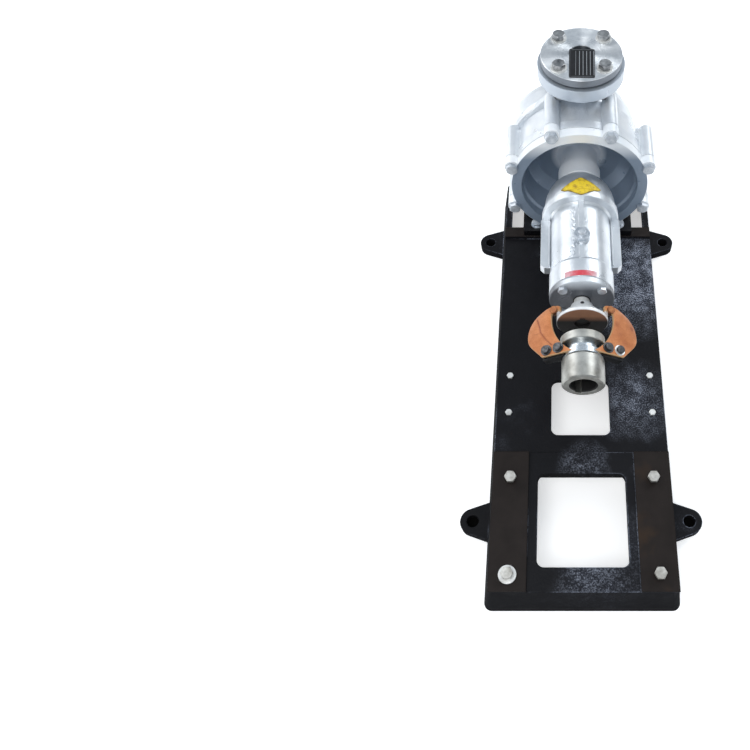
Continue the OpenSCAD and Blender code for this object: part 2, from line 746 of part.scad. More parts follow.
module companion_flange() {
    groove_r = [30, 34, 38];
    color("#c2c2be") translate([0, discharge_y, companion_z]) difference() {
        union() {
            cylinder(d = companion_d - 50, h = companion_t);
            translate([0, 0, raised_face]) cylinder(d = companion_d, h = companion_t - raised_face - 1);
            translate([0, 0, companion_t - 1]) cylinder(d1 = companion_d, d2 = companion_d - 2, h = 1);
        }
        translate([0, 0, -1]) cylinder(d = companion_bore_d, h = companion_t + 2);
        for (r = groove_r) translate([0, 0, companion_t - 0.5]) difference() {
            cylinder(r = r + 0.5, h = 1);
            translate([0, 0, -1]) cylinder(r = r - 0.5, h = 3);
        }
        around(4, discharge_pcd / 2, 45) translate([0, 0, -1])
            cylinder(r = flange_thread / 2 + bolt_gap + 0.4, h = companion_t + 2);
    }
}

module at_flange_bolts(z) {
    translate([0, discharge_y, z]) around(4, discharge_pcd / 2, 45) children();
}

module flange_bolts() {
    color("#a7a9a8") at_flange_bolts(companion_z + companion_t + washer_t)
        hex_bolt(flange_thread, companion_t + washer_t + gasket_disc_t + discharge_flange_t + 18);
}

module flange_washers() {
    color("#cfcfcb") at_flange_bolts(companion_z + companion_t) washer(flange_thread);
}

module flange_nuts() {
    color("#a7a9a8") at_flange_bolts(discharge_z - discharge_flange_t - 0.8 * flange_thread) difference() {
        hex(flats(flange_thread), 0.8 * flange_thread);
        translate([0, 0, -1]) cylinder(r = flange_thread / 2 + thread_gap, h = flange_thread + 2);
    }
}

// Seal and bush in the cooling neck

module throttle_bush() {
    color("#4a4a4e") ring(bush_y, cover_back - 6 - bush_y, bush_r, sleeve_r + run_gap);
}

module seal_seat() {
    color("#6f6a66") ring(seat_y, seat_l, bush_r, sleeve_r - 2);
}

module seal_face_ring() {
    color("#55565a") turned() polygon([[brg_bore / 2, face_ring_y], [21, face_ring_y], [22, face_ring_y + 3],
        [22, face_ring_y + face_ring_l - 1], [21, seat_y - 0.02], [18.5, seat_y - 0.02],
        [18.5, seat_y - 1], [brg_bore / 2, seat_y - 1]]);
}

// Round wire swept along a helix of given turns about Y
module seal_spring() {
    turns = 5;
    steps = 16;
    sides = 6;
    wire = 1.3;
    coil = 18.6;
    first = spring_y + wire + 0.02;
    rise = (spring_l - 2 * wire - 0.04) / turns;
    n = turns * steps;
    points = [for (i = [0:n], j = [0:sides - 1])
        let (a = 360 * i / steps, b = 360 * j / sides, r = coil + wire * cos(b))
            [r * cos(a), first + rise * i / steps + wire * sin(b), r * sin(a)]];
    faces = concat([[for (j = [0:sides - 1]) j]],
        [for (i = [0:n - 1], j = [0:sides - 1]) let (k = (j + 1) % sides)
            [i * sides + j, (i + 1) * sides + j, (i + 1) * sides + k, i * sides + k]],
        [[for (j = [0:sides - 1]) n * sides + sides - 1 - j]]);
    color("#9a9c9e") translate([0, 0, axis_z]) polyhedron(points, faces);
}

module seal_collar() {
    color("#8f9193") ring(seal_collar_y, seal_collar_l, 23, brg_bore / 2);
}

// Bearing housing, one casting with the domed end

end_l = 33;
barrel_step = 2;
dome_wall = 8;
chamber_wall = 11;
wing_rise = 4;
breather_y = barrel_y + breather_in;
breather_h = housing_r + 5;
breather_thread_r = 8;
housing_drain_y = barrel_y + 75;
seal_out = 20;

// Quarter ellipse of the dome, from the housing ring to the cooling neck, drawn in by t
function dome_line(t) = [for (i = [0:12]) let (a = 90 * i / 12)
    [dome_r - t + (ring_r - 3 - dome_r) * cos(a), collar_y + (dome_l - t) * sin(a)]];

module bearing_housing() {
    body_r = housing_r - barrel_step;
    color("#ccd2d6") difference() {
        union() {
            turned() polygon(concat([[0, barrel_y], [housing_r - 1, barrel_y], [housing_r, barrel_y + 1],
                [housing_r, barrel_y + end_l], [body_r, barrel_y + end_l + 4], [body_r, shoulder_y - 3],
                [body_r + 3, shoulder_y], [ring_r - 1, shoulder_y], [ring_r, shoulder_y + 1], [ring_r, collar_y - 2]],
                dome_line(0), [[0, dome_y]]));
            ring(dome_y - 4, ring_y + spigot_l - dome_y + 4, spigot_r, spigot_r - 4);
            // side ribs with chamfered front ends
            for (sx = [-1, 1]) translate([0, 0, axis_z + wing_rise - wing_t]) linear_extrude(wing_t)
                polygon([[sx * 40, shoulder_y + 1], [sx * wing_w / 2, shoulder_y + 1],
                    [sx * wing_w / 2, barrel_y + wing_in + 7], [sx * (wing_w / 2 - 6), barrel_y + wing_in + 1],
                    [sx * (body_r - 3), barrel_y + wing_in], [sx * 40, barrel_y + wing_in]]);
            // raised outer edge of the side ribs
            for (sx = [-1, 1]) translate([sx * (body_r + 2) - 1, barrel_y + wing_in + 3, axis_z + wing_rise - 1])
                cube([2, shoulder_y - barrel_y - wing_in - 3, 5]);
            // top rib, breather boss and drain boss
            translate([-top_rib_w / 2, barrel_y + end_l, axis_z])
                cube([top_rib_w, shoulder_y - barrel_y - end_l, body_r + top_rib_h]);
            translate([0, breather_y, axis_z]) cylinder(r = 12, h = breather_h);
            translate([0, housing_drain_y, axis_z - body_r - 5]) cylinder(r = 12, h = body_r);
        }
        // bearing seats, oil chamber and inner seal seat
        turned() polygon([[0, barrel_y - 1], [brg_od / 2, barrel_y - 1], [brg_od / 2, front_brg_y + brg_w + 3],
            [body_r - chamber_wall + 2, front_brg_y + brg_w + 8], [body_r - chamber_wall + 2, rear_brg_y - 6],
            [brg_od / 2, rear_brg_y - 2], [brg_od / 2, rear_brg_y + brg_w], [brg_od / 2 - 5, rear_brg_y + brg_w],
            [brg_od / 2 - 5, inner_seal_y], [brg_bore / 2 + 9, inner_seal_y],
            [brg_bore / 2 + 9, inner_seal_y + inner_seal_w], [brg_bore / 2 + 2, inner_seal_y + inner_seal_w],
            [brg_bore / 2 + 2, shoulder_y], [0, shoulder_y]]);
        // hollow of the dome and of the spigot
        turned() polygon(concat([[0, shoulder_y - 1], [brg_bore / 2 + 2, shoulder_y - 1]],
            [[brg_bore / 2 + 2, shoulder_y + 2], [ring_r - dome_wall - 6, collar_y - 4]], dome_line(dome_wall),
            [[spigot_r - 4, dome_y - 2], [spigot_r - 4, ring_y + spigot_l + 1], [0, ring_y + spigot_l + 1]]));
        on_shaft(barrel_y - 1) around(4, cap_bolt_r, 45) cylinder(r = cap_thread / 2 + thread_gap, h = 19);
        translate([0, breather_y, axis_z + 20]) cylinder(r = breather_thread_r + thread_gap, h = breather_h);
        translate([0, housing_drain_y, axis_z - housing_r - 10]) cylinder(r = 6 + thread_gap, h = 30);
        on_shaft(ring_y + spigot_l / 2) for (a = [35, 145]) rotate([0, 0, a]) rotate([0, 90, 0])
            translate([0, 0, spigot_r - 2]) cylinder(r1 = 0.5, r2 = set_screw_r, h = set_screw_r);
    }
}

module housing_set_screws() {
    color("#77797c") on_shaft(ring_y + spigot_l / 2) for (a = [35, 145]) rotate([0, 0, a]) rotate([0, 90, 0])
        translate([0, 0, spigot_r + 2]) difference() {
            cylinder(r = set_screw_r, h = cool_ring_r - spigot_r - 2);
            translate([0, 0, 2]) hex(4, 10);
        }
}

module drive_end_cap() {
    color("#c6ccd0") difference() {
        union() {
            turned() polygon([[0, cap_y], [housing_r - 1.2, cap_y], [housing_r - 0.2, cap_y + 1],
                [housing_r - 0.2, barrel_y - gasket_t / 2], [0, barrel_y - gasket_t / 2]]);
            ring(barrel_y - 1, cap_spigot + 1, brg_od / 2 - run_gap, brg_od / 2 - 5);
        }
        turned() polygon([[0, cap_y - 1], [seal_lip_r + 0.05, cap_y - 1], [seal_lip_r + 0.05, cap_y + 2],
            [seal_out, cap_y + 2], [seal_out, barrel_y + 1], [0, barrel_y + 1]]);
        on_shaft(cap_y - 1) around(4, cap_bolt_r, 45) cylinder(r = cap_thread / 2 + bolt_gap, h = cap_t + 2);
    }
}

seal_lip_r = shaft_end_d / 2 + 1.4;

module cap_gasket() {
    color("#3a3a3c") difference() {
        ring(barrel_y - gasket_t / 2, gasket_t / 2, housing_r - 1, brg_od / 2);
        on_shaft(barrel_y - 1) around(4, cap_bolt_r, 45) cylinder(r = cap_thread / 2 + bolt_gap, h = 2);
    }
}

module cap_bolts() {
    color("#b5b8ba") on_shaft(cap_y) around(4, cap_bolt_r, 45) rotate([180, 0, 0])
        hex_bolt(cap_thread, cap_t + 14);
}

module cap_oil_seal() {
    color("#2a2a2c") turned() polygon([[shaft_end_d / 2 + run_gap, cap_y - 1], [seal_lip_r, cap_y - 1],
        [seal_lip_r, cap_y + 2], [seal_out, cap_y + 2], [seal_out, barrel_y - gasket_t / 2],
        [shaft_end_d / 2 + run_gap, barrel_y - gasket_t / 2]]);
}

module inner_oil_seal() {
    color("#2a2a2c") ring(inner_seal_y, inner_seal_w, brg_bore / 2 + 9, brg_bore / 2 + run_gap);
}

module breather_plug() {
    color("#b0b2b2") translate([0, breather_y, axis_z + breather_h]) {
        hex(22, 7);
        translate([0, 0, 6.5]) cylinder(r = 8.5, h = 3);
        translate([0, 0, 9]) cylinder(r1 = 6.5, r2 = 5, h = 4);
        translate([0, 0, -16]) cylinder(r = breather_thread_r, h = 17);
    }
}

module housing_drain_plug() {
    color("#b0b2b2") translate([0, housing_drain_y, axis_z - housing_r + barrel_step - 5]) {
        translate([0, 0, -7]) hex(17, 7);
        translate([0, 0, -1]) cylinder(r = 6, h = 13);
    }
}

// Ball bearings

module bearing_outer_ring(y) {
    turned() difference() {
        translate([race_r + ring_land, y]) square([brg_od / 2 - race_r - ring_land, brg_w]);
        translate([race_r, y + brg_w / 2]) circle(ball_d / 2 + race_gap);
    }
}

module bearing_inner_ring(y) {
    turned() difference() {
        translate([brg_bore / 2, y]) square([race_r - ring_land - brg_bore / 2, brg_w]);
        translate([race_r, y + brg_w / 2]) circle(ball_d / 2 + race_gap);
    }
}

module bearing_balls(y) {
    on_shaft(y + brg_w / 2) around(ball_n, race_r) sphere(d = ball_d);
}

module bearing_cage(y) {
    difference() {
        ring(y + brg_w / 2 - 7.5, 15, race_r + 1.2, race_r - 1.2);
        on_shaft(y + brg_w / 2) around(ball_n, race_r) rotate([0, 90, 0])
            cylinder(r = ball_d / 2 + race_gap, h = 8, center = true);
    }
}

module front_bearing_outer_ring() { color("#b9bcc0") bearing_outer_ring(front_brg_y); }
module front_bearing_inner_ring() { color("#b9bcc0") bearing_inner_ring(front_brg_y); }
module front_bearing_balls() { color("#d5d8dc") bearing_balls(front_brg_y); }
module front_bearing_cage() { color("#b08d3c") bearing_cage(front_brg_y); }
module rear_bearing_outer_ring() { color("#b9bcc0") bearing_outer_ring(rear_brg_y); }
module rear_bearing_inner_ring() { color("#b9bcc0") bearing_inner_ring(rear_brg_y); }
module rear_bearing_balls() { color("#d5d8dc") bearing_balls(rear_brg_y); }
module rear_bearing_cage() { color("#b08d3c") bearing_cage(rear_brg_y); }

module bearing_circlip() {
    color("#6d6f72") ring(front_brg_y - circlip_t, circlip_t, brg_bore / 2 + 3, brg_bore / 2 - 1);
}

circlip_t = 1.8;

// Rotor

key_w = 8;
key_h = 7;
key_in = 4;
key_l = 22;
impeller_key_w = 6;
impeller_key_l = 12;
shaft_end_y = pump_half_y + 3.5;
key_y = shaft_end_y + 3;
impeller_key_y = shroud_back_y + 1;

// Key lying on the top of the shaft, of width w and height h, its floor at radius r - depth
module key_block(y, l, w, h, r, depth) {
    translate([-w / 2, y, axis_z + r - depth]) cube([w, l, h]);
}

module shaft() {
    r1 = shaft_end_d / 2;
    r2 = brg_bore / 2;
    r3 = shaft_mid_d / 2;
    r4 = shaft_tip_d / 2;
    tip_y = hub_end_y + nut_l + 4;
    color("#a9acae") difference() {
        turned() polygon([[0, shaft_end_y], [r1 - 1, shaft_end_y], [r1, shaft_end_y + 1], [r1, front_brg_y - 3],
            [r2, front_brg_y - 3], [r2, front_brg_y - circlip_t], [r2 - 1, front_brg_y - circlip_t],
            [r2 - 1, front_brg_y], [r2, front_brg_y], [r2, front_brg_y + brg_w], [r3, front_brg_y + brg_w],
            [r3, rear_brg_y], [r2, rear_brg_y], [r2, sleeve_end_y], [r4, sleeve_end_y],
            [r4, tip_y - 1], [r4 - 1, tip_y], [0, tip_y]]);
        key_block(key_y, key_l, key_w, key_h, r1, key_in);
        key_block(impeller_key_y, impeller_key_l, impeller_key_w, impeller_key_w, r4, 3.5);
    }
}

module shaft_sleeve() {
    color("#8d9092") ring(sleeve_y, sleeve_end_y - sleeve_y, sleeve_r, brg_bore / 2);
}

// Backward curved blade between the shrouds, as an arc band in the plane across the shaft
module blade() {
    arc_r = 52;
    intersection() {
        difference() {
            translate([30, 42]) circle(arc_r + shroud_t / 2);
            translate([30, 42]) circle(arc_r - shroud_t / 2);
        }
        difference() {
            circle(impeller_d / 2 - 0.5);
            circle(eye_r - 4);
        }
        translate([-10, -impeller_d]) square([impeller_d, impeller_d + 22]);
    }
}

module impeller() {
    rim = impeller_d / 2;
    color("#7f8488") difference() {
        union() {
            turned() polygon([[shaft_tip_d / 2, sleeve_end_y], [hub_r, sleeve_end_y], [hub_r, shroud_back_y],
                [rim, shroud_back_y], [rim, shroud_back_y + shroud_t], [hub_r + 4, shroud_back_y + shroud_t],
                [hub_r - 1, hub_end_y - 4], [hub_r - 3, hub_end_y], [shaft_tip_d / 2, hub_end_y]]);
            turned() polygon([[eye_r, shroud_front_y - shroud_t + 1], [eye_r + 1, shroud_front_y - shroud_t],
                [rim, shroud_front_y - shroud_t], [rim, shroud_front_y], [eye_r + shroud_t + 4, shroud_front_y],
                [eye_r + shroud_t, shroud_front_y + axial_gap - 0.5],
                [eye_r + shroud_t, wear_y + wear_l], [eye_r, wear_y + wear_l]]);
            translate([0, shroud_front_y - shroud_t + 0.5, axis_z]) rotate([90, 0, 0])
                linear_extrude(passage_w + 1) for (i = [0:blade_n - 1]) rotate(i * 360 / blade_n) blade();
        }
        key_block(impeller_key_y - 10, impeller_key_l + 30, impeller_key_w, impeller_key_w, shaft_tip_d / 2, 3.5);
    }
}

module impeller_key() {
    color("#8a8c8e") key_block(impeller_key_y, impeller_key_l, impeller_key_w, impeller_key_w - 0.3,
        shaft_tip_d / 2, 3.5);
}

module impeller_nut() {
    color("#8a8c8e") on_shaft(hub_end_y) difference() {
        union() {
            hex(nut_flats, nut_l);
            translate([0, 0, nut_l - 0.5]) cylinder(r1 = nut_flats / 2 - 1, r2 = nut_flats / 2 - 3, h = 3);
        }
        translate([0, 0, -1]) cylinder(r = shaft_tip_d / 2, h = nut_l + 6);
    }
}

// Coupling

strap_y = pump_half_y - 16;
strap_z = axis_z + strap_up;
strap_mid = 15;
strap_reach = 43;
strap_bolt_at = [[1, 8.5 - strap_reach], [20, 8.5 - strap_reach]];
strap_screw_at = [8, strap_bend - strap_tab_w / 2];
strap_thread_r = 4;
lug_l = 12;
arm_h = 10;
seat_gap = 0.05;

module coupling_key() {
    color("#8a8c8e") key_block(key_y, key_l, key_w, key_h - 0.2, shaft_end_d / 2, key_in);
}

module pump_half_coupling() {
    hub_y = pump_half_y + pump_half_l;
    r = pump_half_d / 2;
    color("#c9c9c6") difference() {
        union() {
            turned() polygon([[shaft_end_d / 2, pump_half_y], [r - 1, pump_half_y], [r, pump_half_y + 1],
                [r, pump_half_y + pump_rim_w], [pump_hub_r + 8, hub_y - 12], [pump_hub_r + 1, hub_y - 5],
                [pump_hub_r, hub_y], [shaft_end_d / 2, hub_y]]);
            // rear arms that carry the strap ends
            for (sx = [0, 1]) mirror([sx, 0, 0]) {
                at_strap(strap_screw_at) translate([0, 0, -strap_t - lug_l])
                    cylinder(r = 6.5, h = lug_l - seat_gap);
                translate([pump_hub_r - 2, hub_y - 20, axis_z - 8]) cube([strap_x - pump_hub_r + 6, arm_h, arm_h]);
            }
        }
        translate([0, pump_half_y - 1, axis_z]) rotate([-90, 0, 0]) cylinder(d = shaft_end_d, h = pump_half_l + 2);
        key_block(key_y - 8, key_l + 8, key_w, key_h, shaft_end_d / 2, key_in);
        translate([0, hub_y - 7, axis_z]) cylinder(r = 3 + thread_gap, h = 40);
        for (sx = [0, 1]) mirror([sx, 0, 0]) at_strap(strap_screw_at)
            translate([0, 0, -strap_t - lug_l - 1]) cylinder(r = strap_thread_r - 1 + thread_gap, h = lug_l + 2);
    }
}

module coupling_set_screw() {
    color("#77797c") translate([0, pump_half_y + pump_half_l - 7, axis_z + shaft_end_d / 2 + key_h - key_in])
        difference() {
            cylinder(r = 3, h = 5);
            translate([0, 0, 2.5]) hex(3, 5);
    }
}

module motor_half_coupling() {
    rb = motor_barrel_d / 2;
    rf = motor_half_d / 2;
    bore_r = motor_bore_d / 2;
    color("#c8c6be") difference() {
        turned() polygon([[0, motor_end_y], [rb - 2, motor_end_y], [rb, motor_end_y + 2],
            [rb, motor_barrel_y - 4], [rb - 3, motor_barrel_y], [motor_neck_d / 2, motor_barrel_y],
            [motor_neck_d / 2, motor_neck_y], [step_ring_d / 2, motor_neck_y], [step_ring_d / 2, motor_step_y],
            [rf - 1, motor_step_y], [rf, motor_step_y + 1], [rf, motor_flange_y - 1], [rf - 1, motor_flange_y],
            [0, motor_flange_y]]);
        turned() polygon([[0, motor_end_y - 1], [bore_r + 3, motor_end_y - 1], [bore_r, motor_end_y + 2],
            [bore_r, motor_end_y + motor_bore_l], [0, motor_end_y + motor_bore_l]]);
        // keyway, low on the left seen from the open end
        translate([0, 0, axis_z]) rotate([0, 200, 0]) translate([-5, motor_end_y - 1, 0])
            cube([10, motor_bore_l + 1, bore_r + 3.3]);
    }
}

// Place on the top of the right strap, in its own tilted plane
module at_strap(p) {
    translate([strap_x, strap_y, strap_z]) rotate([0, strap_tilt, 0]) translate([p[0], p[1], 0]) children();
}

module strap_lugs() {
    color("#1f2022") difference() {
        for (sx = [0, 1]) mirror([sx, 0, 0]) {
            at_strap([0, 0]) translate([-8, -strap_reach - 4, -strap_t - lug_l]) {
                cube([36, 19.5, lug_l - seat_gap]);
                translate([30, 8, 0]) cylinder(r = 8, h = lug_l - seat_gap);
            }
            translate([motor_neck_d / 2 - 6, motor_barrel_y + 1.5, axis_z - 8])
                cube([strap_x + 14 - motor_neck_d / 2, 6.5, 11]);
        }
        // clear of the neck, the barrel, the step ring and the flange of the motor half
        on_shaft(motor_end_y) cylinder(d = motor_neck_d, h = 90);
        on_shaft(motor_barrel_y - 30) cylinder(r = motor_barrel_d / 2 + seat_gap, h = 30 + seat_gap);
        on_shaft(motor_neck_y - 0.4) cylinder(r = step_ring_d / 2 + 0.4, h = 30);
        on_shaft(motor_step_y - 0.4) cylinder(r = motor_half_d / 2 + 0.4, h = 30);
        for (sx = [0, 1], p = strap_bolt_at) mirror([sx, 0, 0]) at_strap(p)
            translate([0, 0, -30]) cylinder(r = strap_thread_r + thread_gap, h = 40);
    }
}

// Leather strap: flat blank with a long hollow inner edge, laid sloping over the coupling
module strap() {
    inner_x = -62;
    inner_y = 20;
    color("#c07f4a") difference() {
        at_strap([0, 0]) translate([0, 0, -strap_t]) linear_extrude(strap_t) {
            difference() {
                union() {
                    translate([strap_mid, 0]) circle(strap_bend);
                    polygon([[-22, -strap_reach], [strap_end_w - 22, -strap_reach],
                        [strap_mid + strap_bend * cos(40), -strap_bend * sin(40)], [strap_mid, 0], [-5, 0]]);
                }
                translate([inner_x, inner_y]) circle(strap_inner);
            }
            polygon([[0, strap_bend - strap_tab_w], [strap_mid + 4, strap_bend - strap_tab_w - 2],
                [strap_mid + 4, strap_bend - 0.5], [strap_mid - 1, strap_bend - 0.2], [0, strap_bend + 0.5]]);
        }
        for (p = concat(strap_bolt_at, [strap_screw_at])) at_strap(p)
            translate([0, 0, -10]) cylinder(r = strap_thread_r + 0.3, h = 20);
    }
}

module strap_left() { mirror([1, 0, 0]) strap(); }
module strap_right() { strap(); }

module strap_bolts() {
    color("#4c4e50") for (sx = [0, 1], i = [0, 1]) mirror([sx, 0, 0]) at_strap(strap_bolt_at[i]) {
        translate([0, 0, strap_washer_t + seat_gap]) cylinder(r = 6, h = 4);
        translate([0, 0, -strap_t - lug_l]) cylinder(r = strap_thread_r, h = strap_t + lug_l + 4);
    }
}

strap_washer_t = 1.5;

module strap_washers() {
    color("#d6d6d2") for (sx = [0, 1], p = strap_bolt_at) mirror([sx, 0, 0]) at_strap(p)
        translate([0, 0, seat_gap / 2]) difference() {
            cylinder(r = 8.3, h = strap_washer_t);
            translate([0, 0, -1]) cylinder(r = strap_thread_r + 0.3, h = 4);
        }
}

module strap_screws() {
    color("#6e7072") for (sx = [0, 1]) mirror([sx, 0, 0]) at_strap(strap_screw_at) {
        translate([0, 0, seat_gap / 2]) cylinder(r = 6, h = 3);
        translate([0, 0, -strap_t - lug_l]) cylinder(r = strap_thread_r - 1, h = strap_t + lug_l + 1);
    }
}

baseplate();
motor_bolts();
motor_washer();
guard_screws();
casing();
casing_drain_plug();
foot_bolts();
foot_washers();
cover_gasket();
casing_cover();
cover_bolts();
suction_wear_ring();
cover_wear_ring();
discharge_gasket();
companion_flange();
flange_bolts();
flange_washers();
flange_nuts();
throttle_bush();
seal_seat();
seal_face_ring();
seal_spring();
seal_collar();
bearing_housing();
housing_set_screws();
drive_end_cap();
cap_gasket();
cap_bolts();
cap_oil_seal();
inner_oil_seal();
breather_plug();
housing_drain_plug();
front_bearing_outer_ring();
front_bearing_inner_ring();
front_bearing_balls();
front_bearing_cage();
rear_bearing_outer_ring();
rear_bearing_inner_ring();
rear_bearing_balls();
rear_bearing_cage();
bearing_circlip();
shaft();
shaft_sleeve();
impeller();
impeller_key();
impeller_nut();
coupling_key();
pump_half_coupling();
coupling_set_screw();
motor_half_coupling();
strap_lugs();
strap_left();
strap_right();
strap_bolts();
strap_washers();
strap_screws();
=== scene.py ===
import math

import bpy
import numpy as np
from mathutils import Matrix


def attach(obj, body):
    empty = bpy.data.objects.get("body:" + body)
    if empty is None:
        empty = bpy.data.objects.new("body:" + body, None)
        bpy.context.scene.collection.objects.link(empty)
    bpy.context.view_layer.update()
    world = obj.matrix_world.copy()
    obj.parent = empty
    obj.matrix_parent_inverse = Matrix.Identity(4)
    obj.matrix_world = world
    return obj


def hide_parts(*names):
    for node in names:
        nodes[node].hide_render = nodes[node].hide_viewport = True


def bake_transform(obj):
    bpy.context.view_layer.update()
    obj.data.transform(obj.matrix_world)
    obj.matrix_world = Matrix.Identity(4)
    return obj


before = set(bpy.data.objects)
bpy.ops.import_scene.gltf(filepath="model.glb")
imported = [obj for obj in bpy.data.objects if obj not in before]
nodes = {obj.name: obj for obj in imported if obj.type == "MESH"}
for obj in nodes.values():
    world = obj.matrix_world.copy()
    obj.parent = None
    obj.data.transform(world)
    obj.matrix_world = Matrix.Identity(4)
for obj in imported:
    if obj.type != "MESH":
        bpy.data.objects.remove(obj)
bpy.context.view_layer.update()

# The camera looks down on the coupling end from about a metre above the floor. Its lens and
# its shift follow from the photograph's 750 by 750 frame.
camera_data = bpy.data.cameras.new("camera")
camera_data.sensor_width = 36.0
camera_data.lens = 31.76
camera_data.shift_x = -0.2456
camera_data.shift_y = -0.0372
camera_data.clip_start = 0.05
camera_data.clip_end = 60.0
camera = bpy.data.objects.new("camera", camera_data)
camera.location = (-0.0344, -0.5558, 1.0525)
camera.rotation_euler = (math.radians(29.8), 0.0, 0.0)
bpy.context.scene.collection.objects.link(camera)
bpy.context.scene.camera = camera


# Baseplate: grey iron, cast in sand and brushed thick with half glossy black machinery paint.
# Grey dust lies in its grain, with painted glints among its specks; edges are rubbed to the primer
# and painted pale as edge highlights, and the machined motor pads carry only a thin brownish coat.
def linear(code):
    """sRGB hex to linear colour: each channel through the inverse of the display curve."""
    channels = [int(code[i:i + 2], 16) / 255 for i in (1, 3, 5)]
    return tuple(c / 12.92 if c <= 0.04045 else ((c + 0.055) / 1.055) ** 2.4 for c in channels) + (1.0,)


def add(tree, kind, feeds=(), **settings):
    """Adds a node of a kind and returns its outputs. Feeds go to its inputs in order, or from a
    dict by number or name; each is another node's output, a number, a vector or a hex colour.
    Settings are the node's own properties, or inputs by name with an underscore for a space.
    A MapRange is fed a value, the range it comes from and the range it goes to, 0 to 1 unless
    given; the colours of a Mix are its inputs 6 and 7 and its output 2."""
    node = tree.nodes.new("ShaderNode" + kind)
    for name, value in settings.items():
        if hasattr(node, name):
            setattr(node, name, value)
        else:
            node.inputs[name.replace("_", " ")].default_value = value
    for target, feed in feeds.items() if isinstance(feeds, dict) else enumerate(feeds):
        if isinstance(feed, bpy.types.NodeSocket):
            tree.links.new(feed, node.inputs[target])
        else:
            node.inputs[target].default_value = linear(feed) if isinstance(feed, str) else feed
    return node.outputs


def new_material(name):
    """An empty material, its node tree, and the Object coordinates in that tree."""
    made = bpy.data.materials.new(name)
    made.use_nodes = True
    tree = made.node_tree
    tree.nodes.clear()
    return made, tree, add(tree, "TexCoord")["Object"]


def surface(tree, colour, feeds, **settings):
    """Ends a material with a Principled shader: a plain colour on its own socket, flat values from
    the settings, and feeds from other nodes by the name of the input."""
    shader = add(tree, "BsdfPrincipled", {"Base Color": colour}, **settings)[0]
    for target, feed in feeds.items():
        tree.links.new(feed, shader.node.inputs[target])
    add(tree, "OutputMaterial", [shader])


def dress(material, *names):
    """Gives CAD nodes a material."""
    for name in names:
        mesh = nodes[name].data
        mesh.materials.clear()
        mesh.materials.append(material)


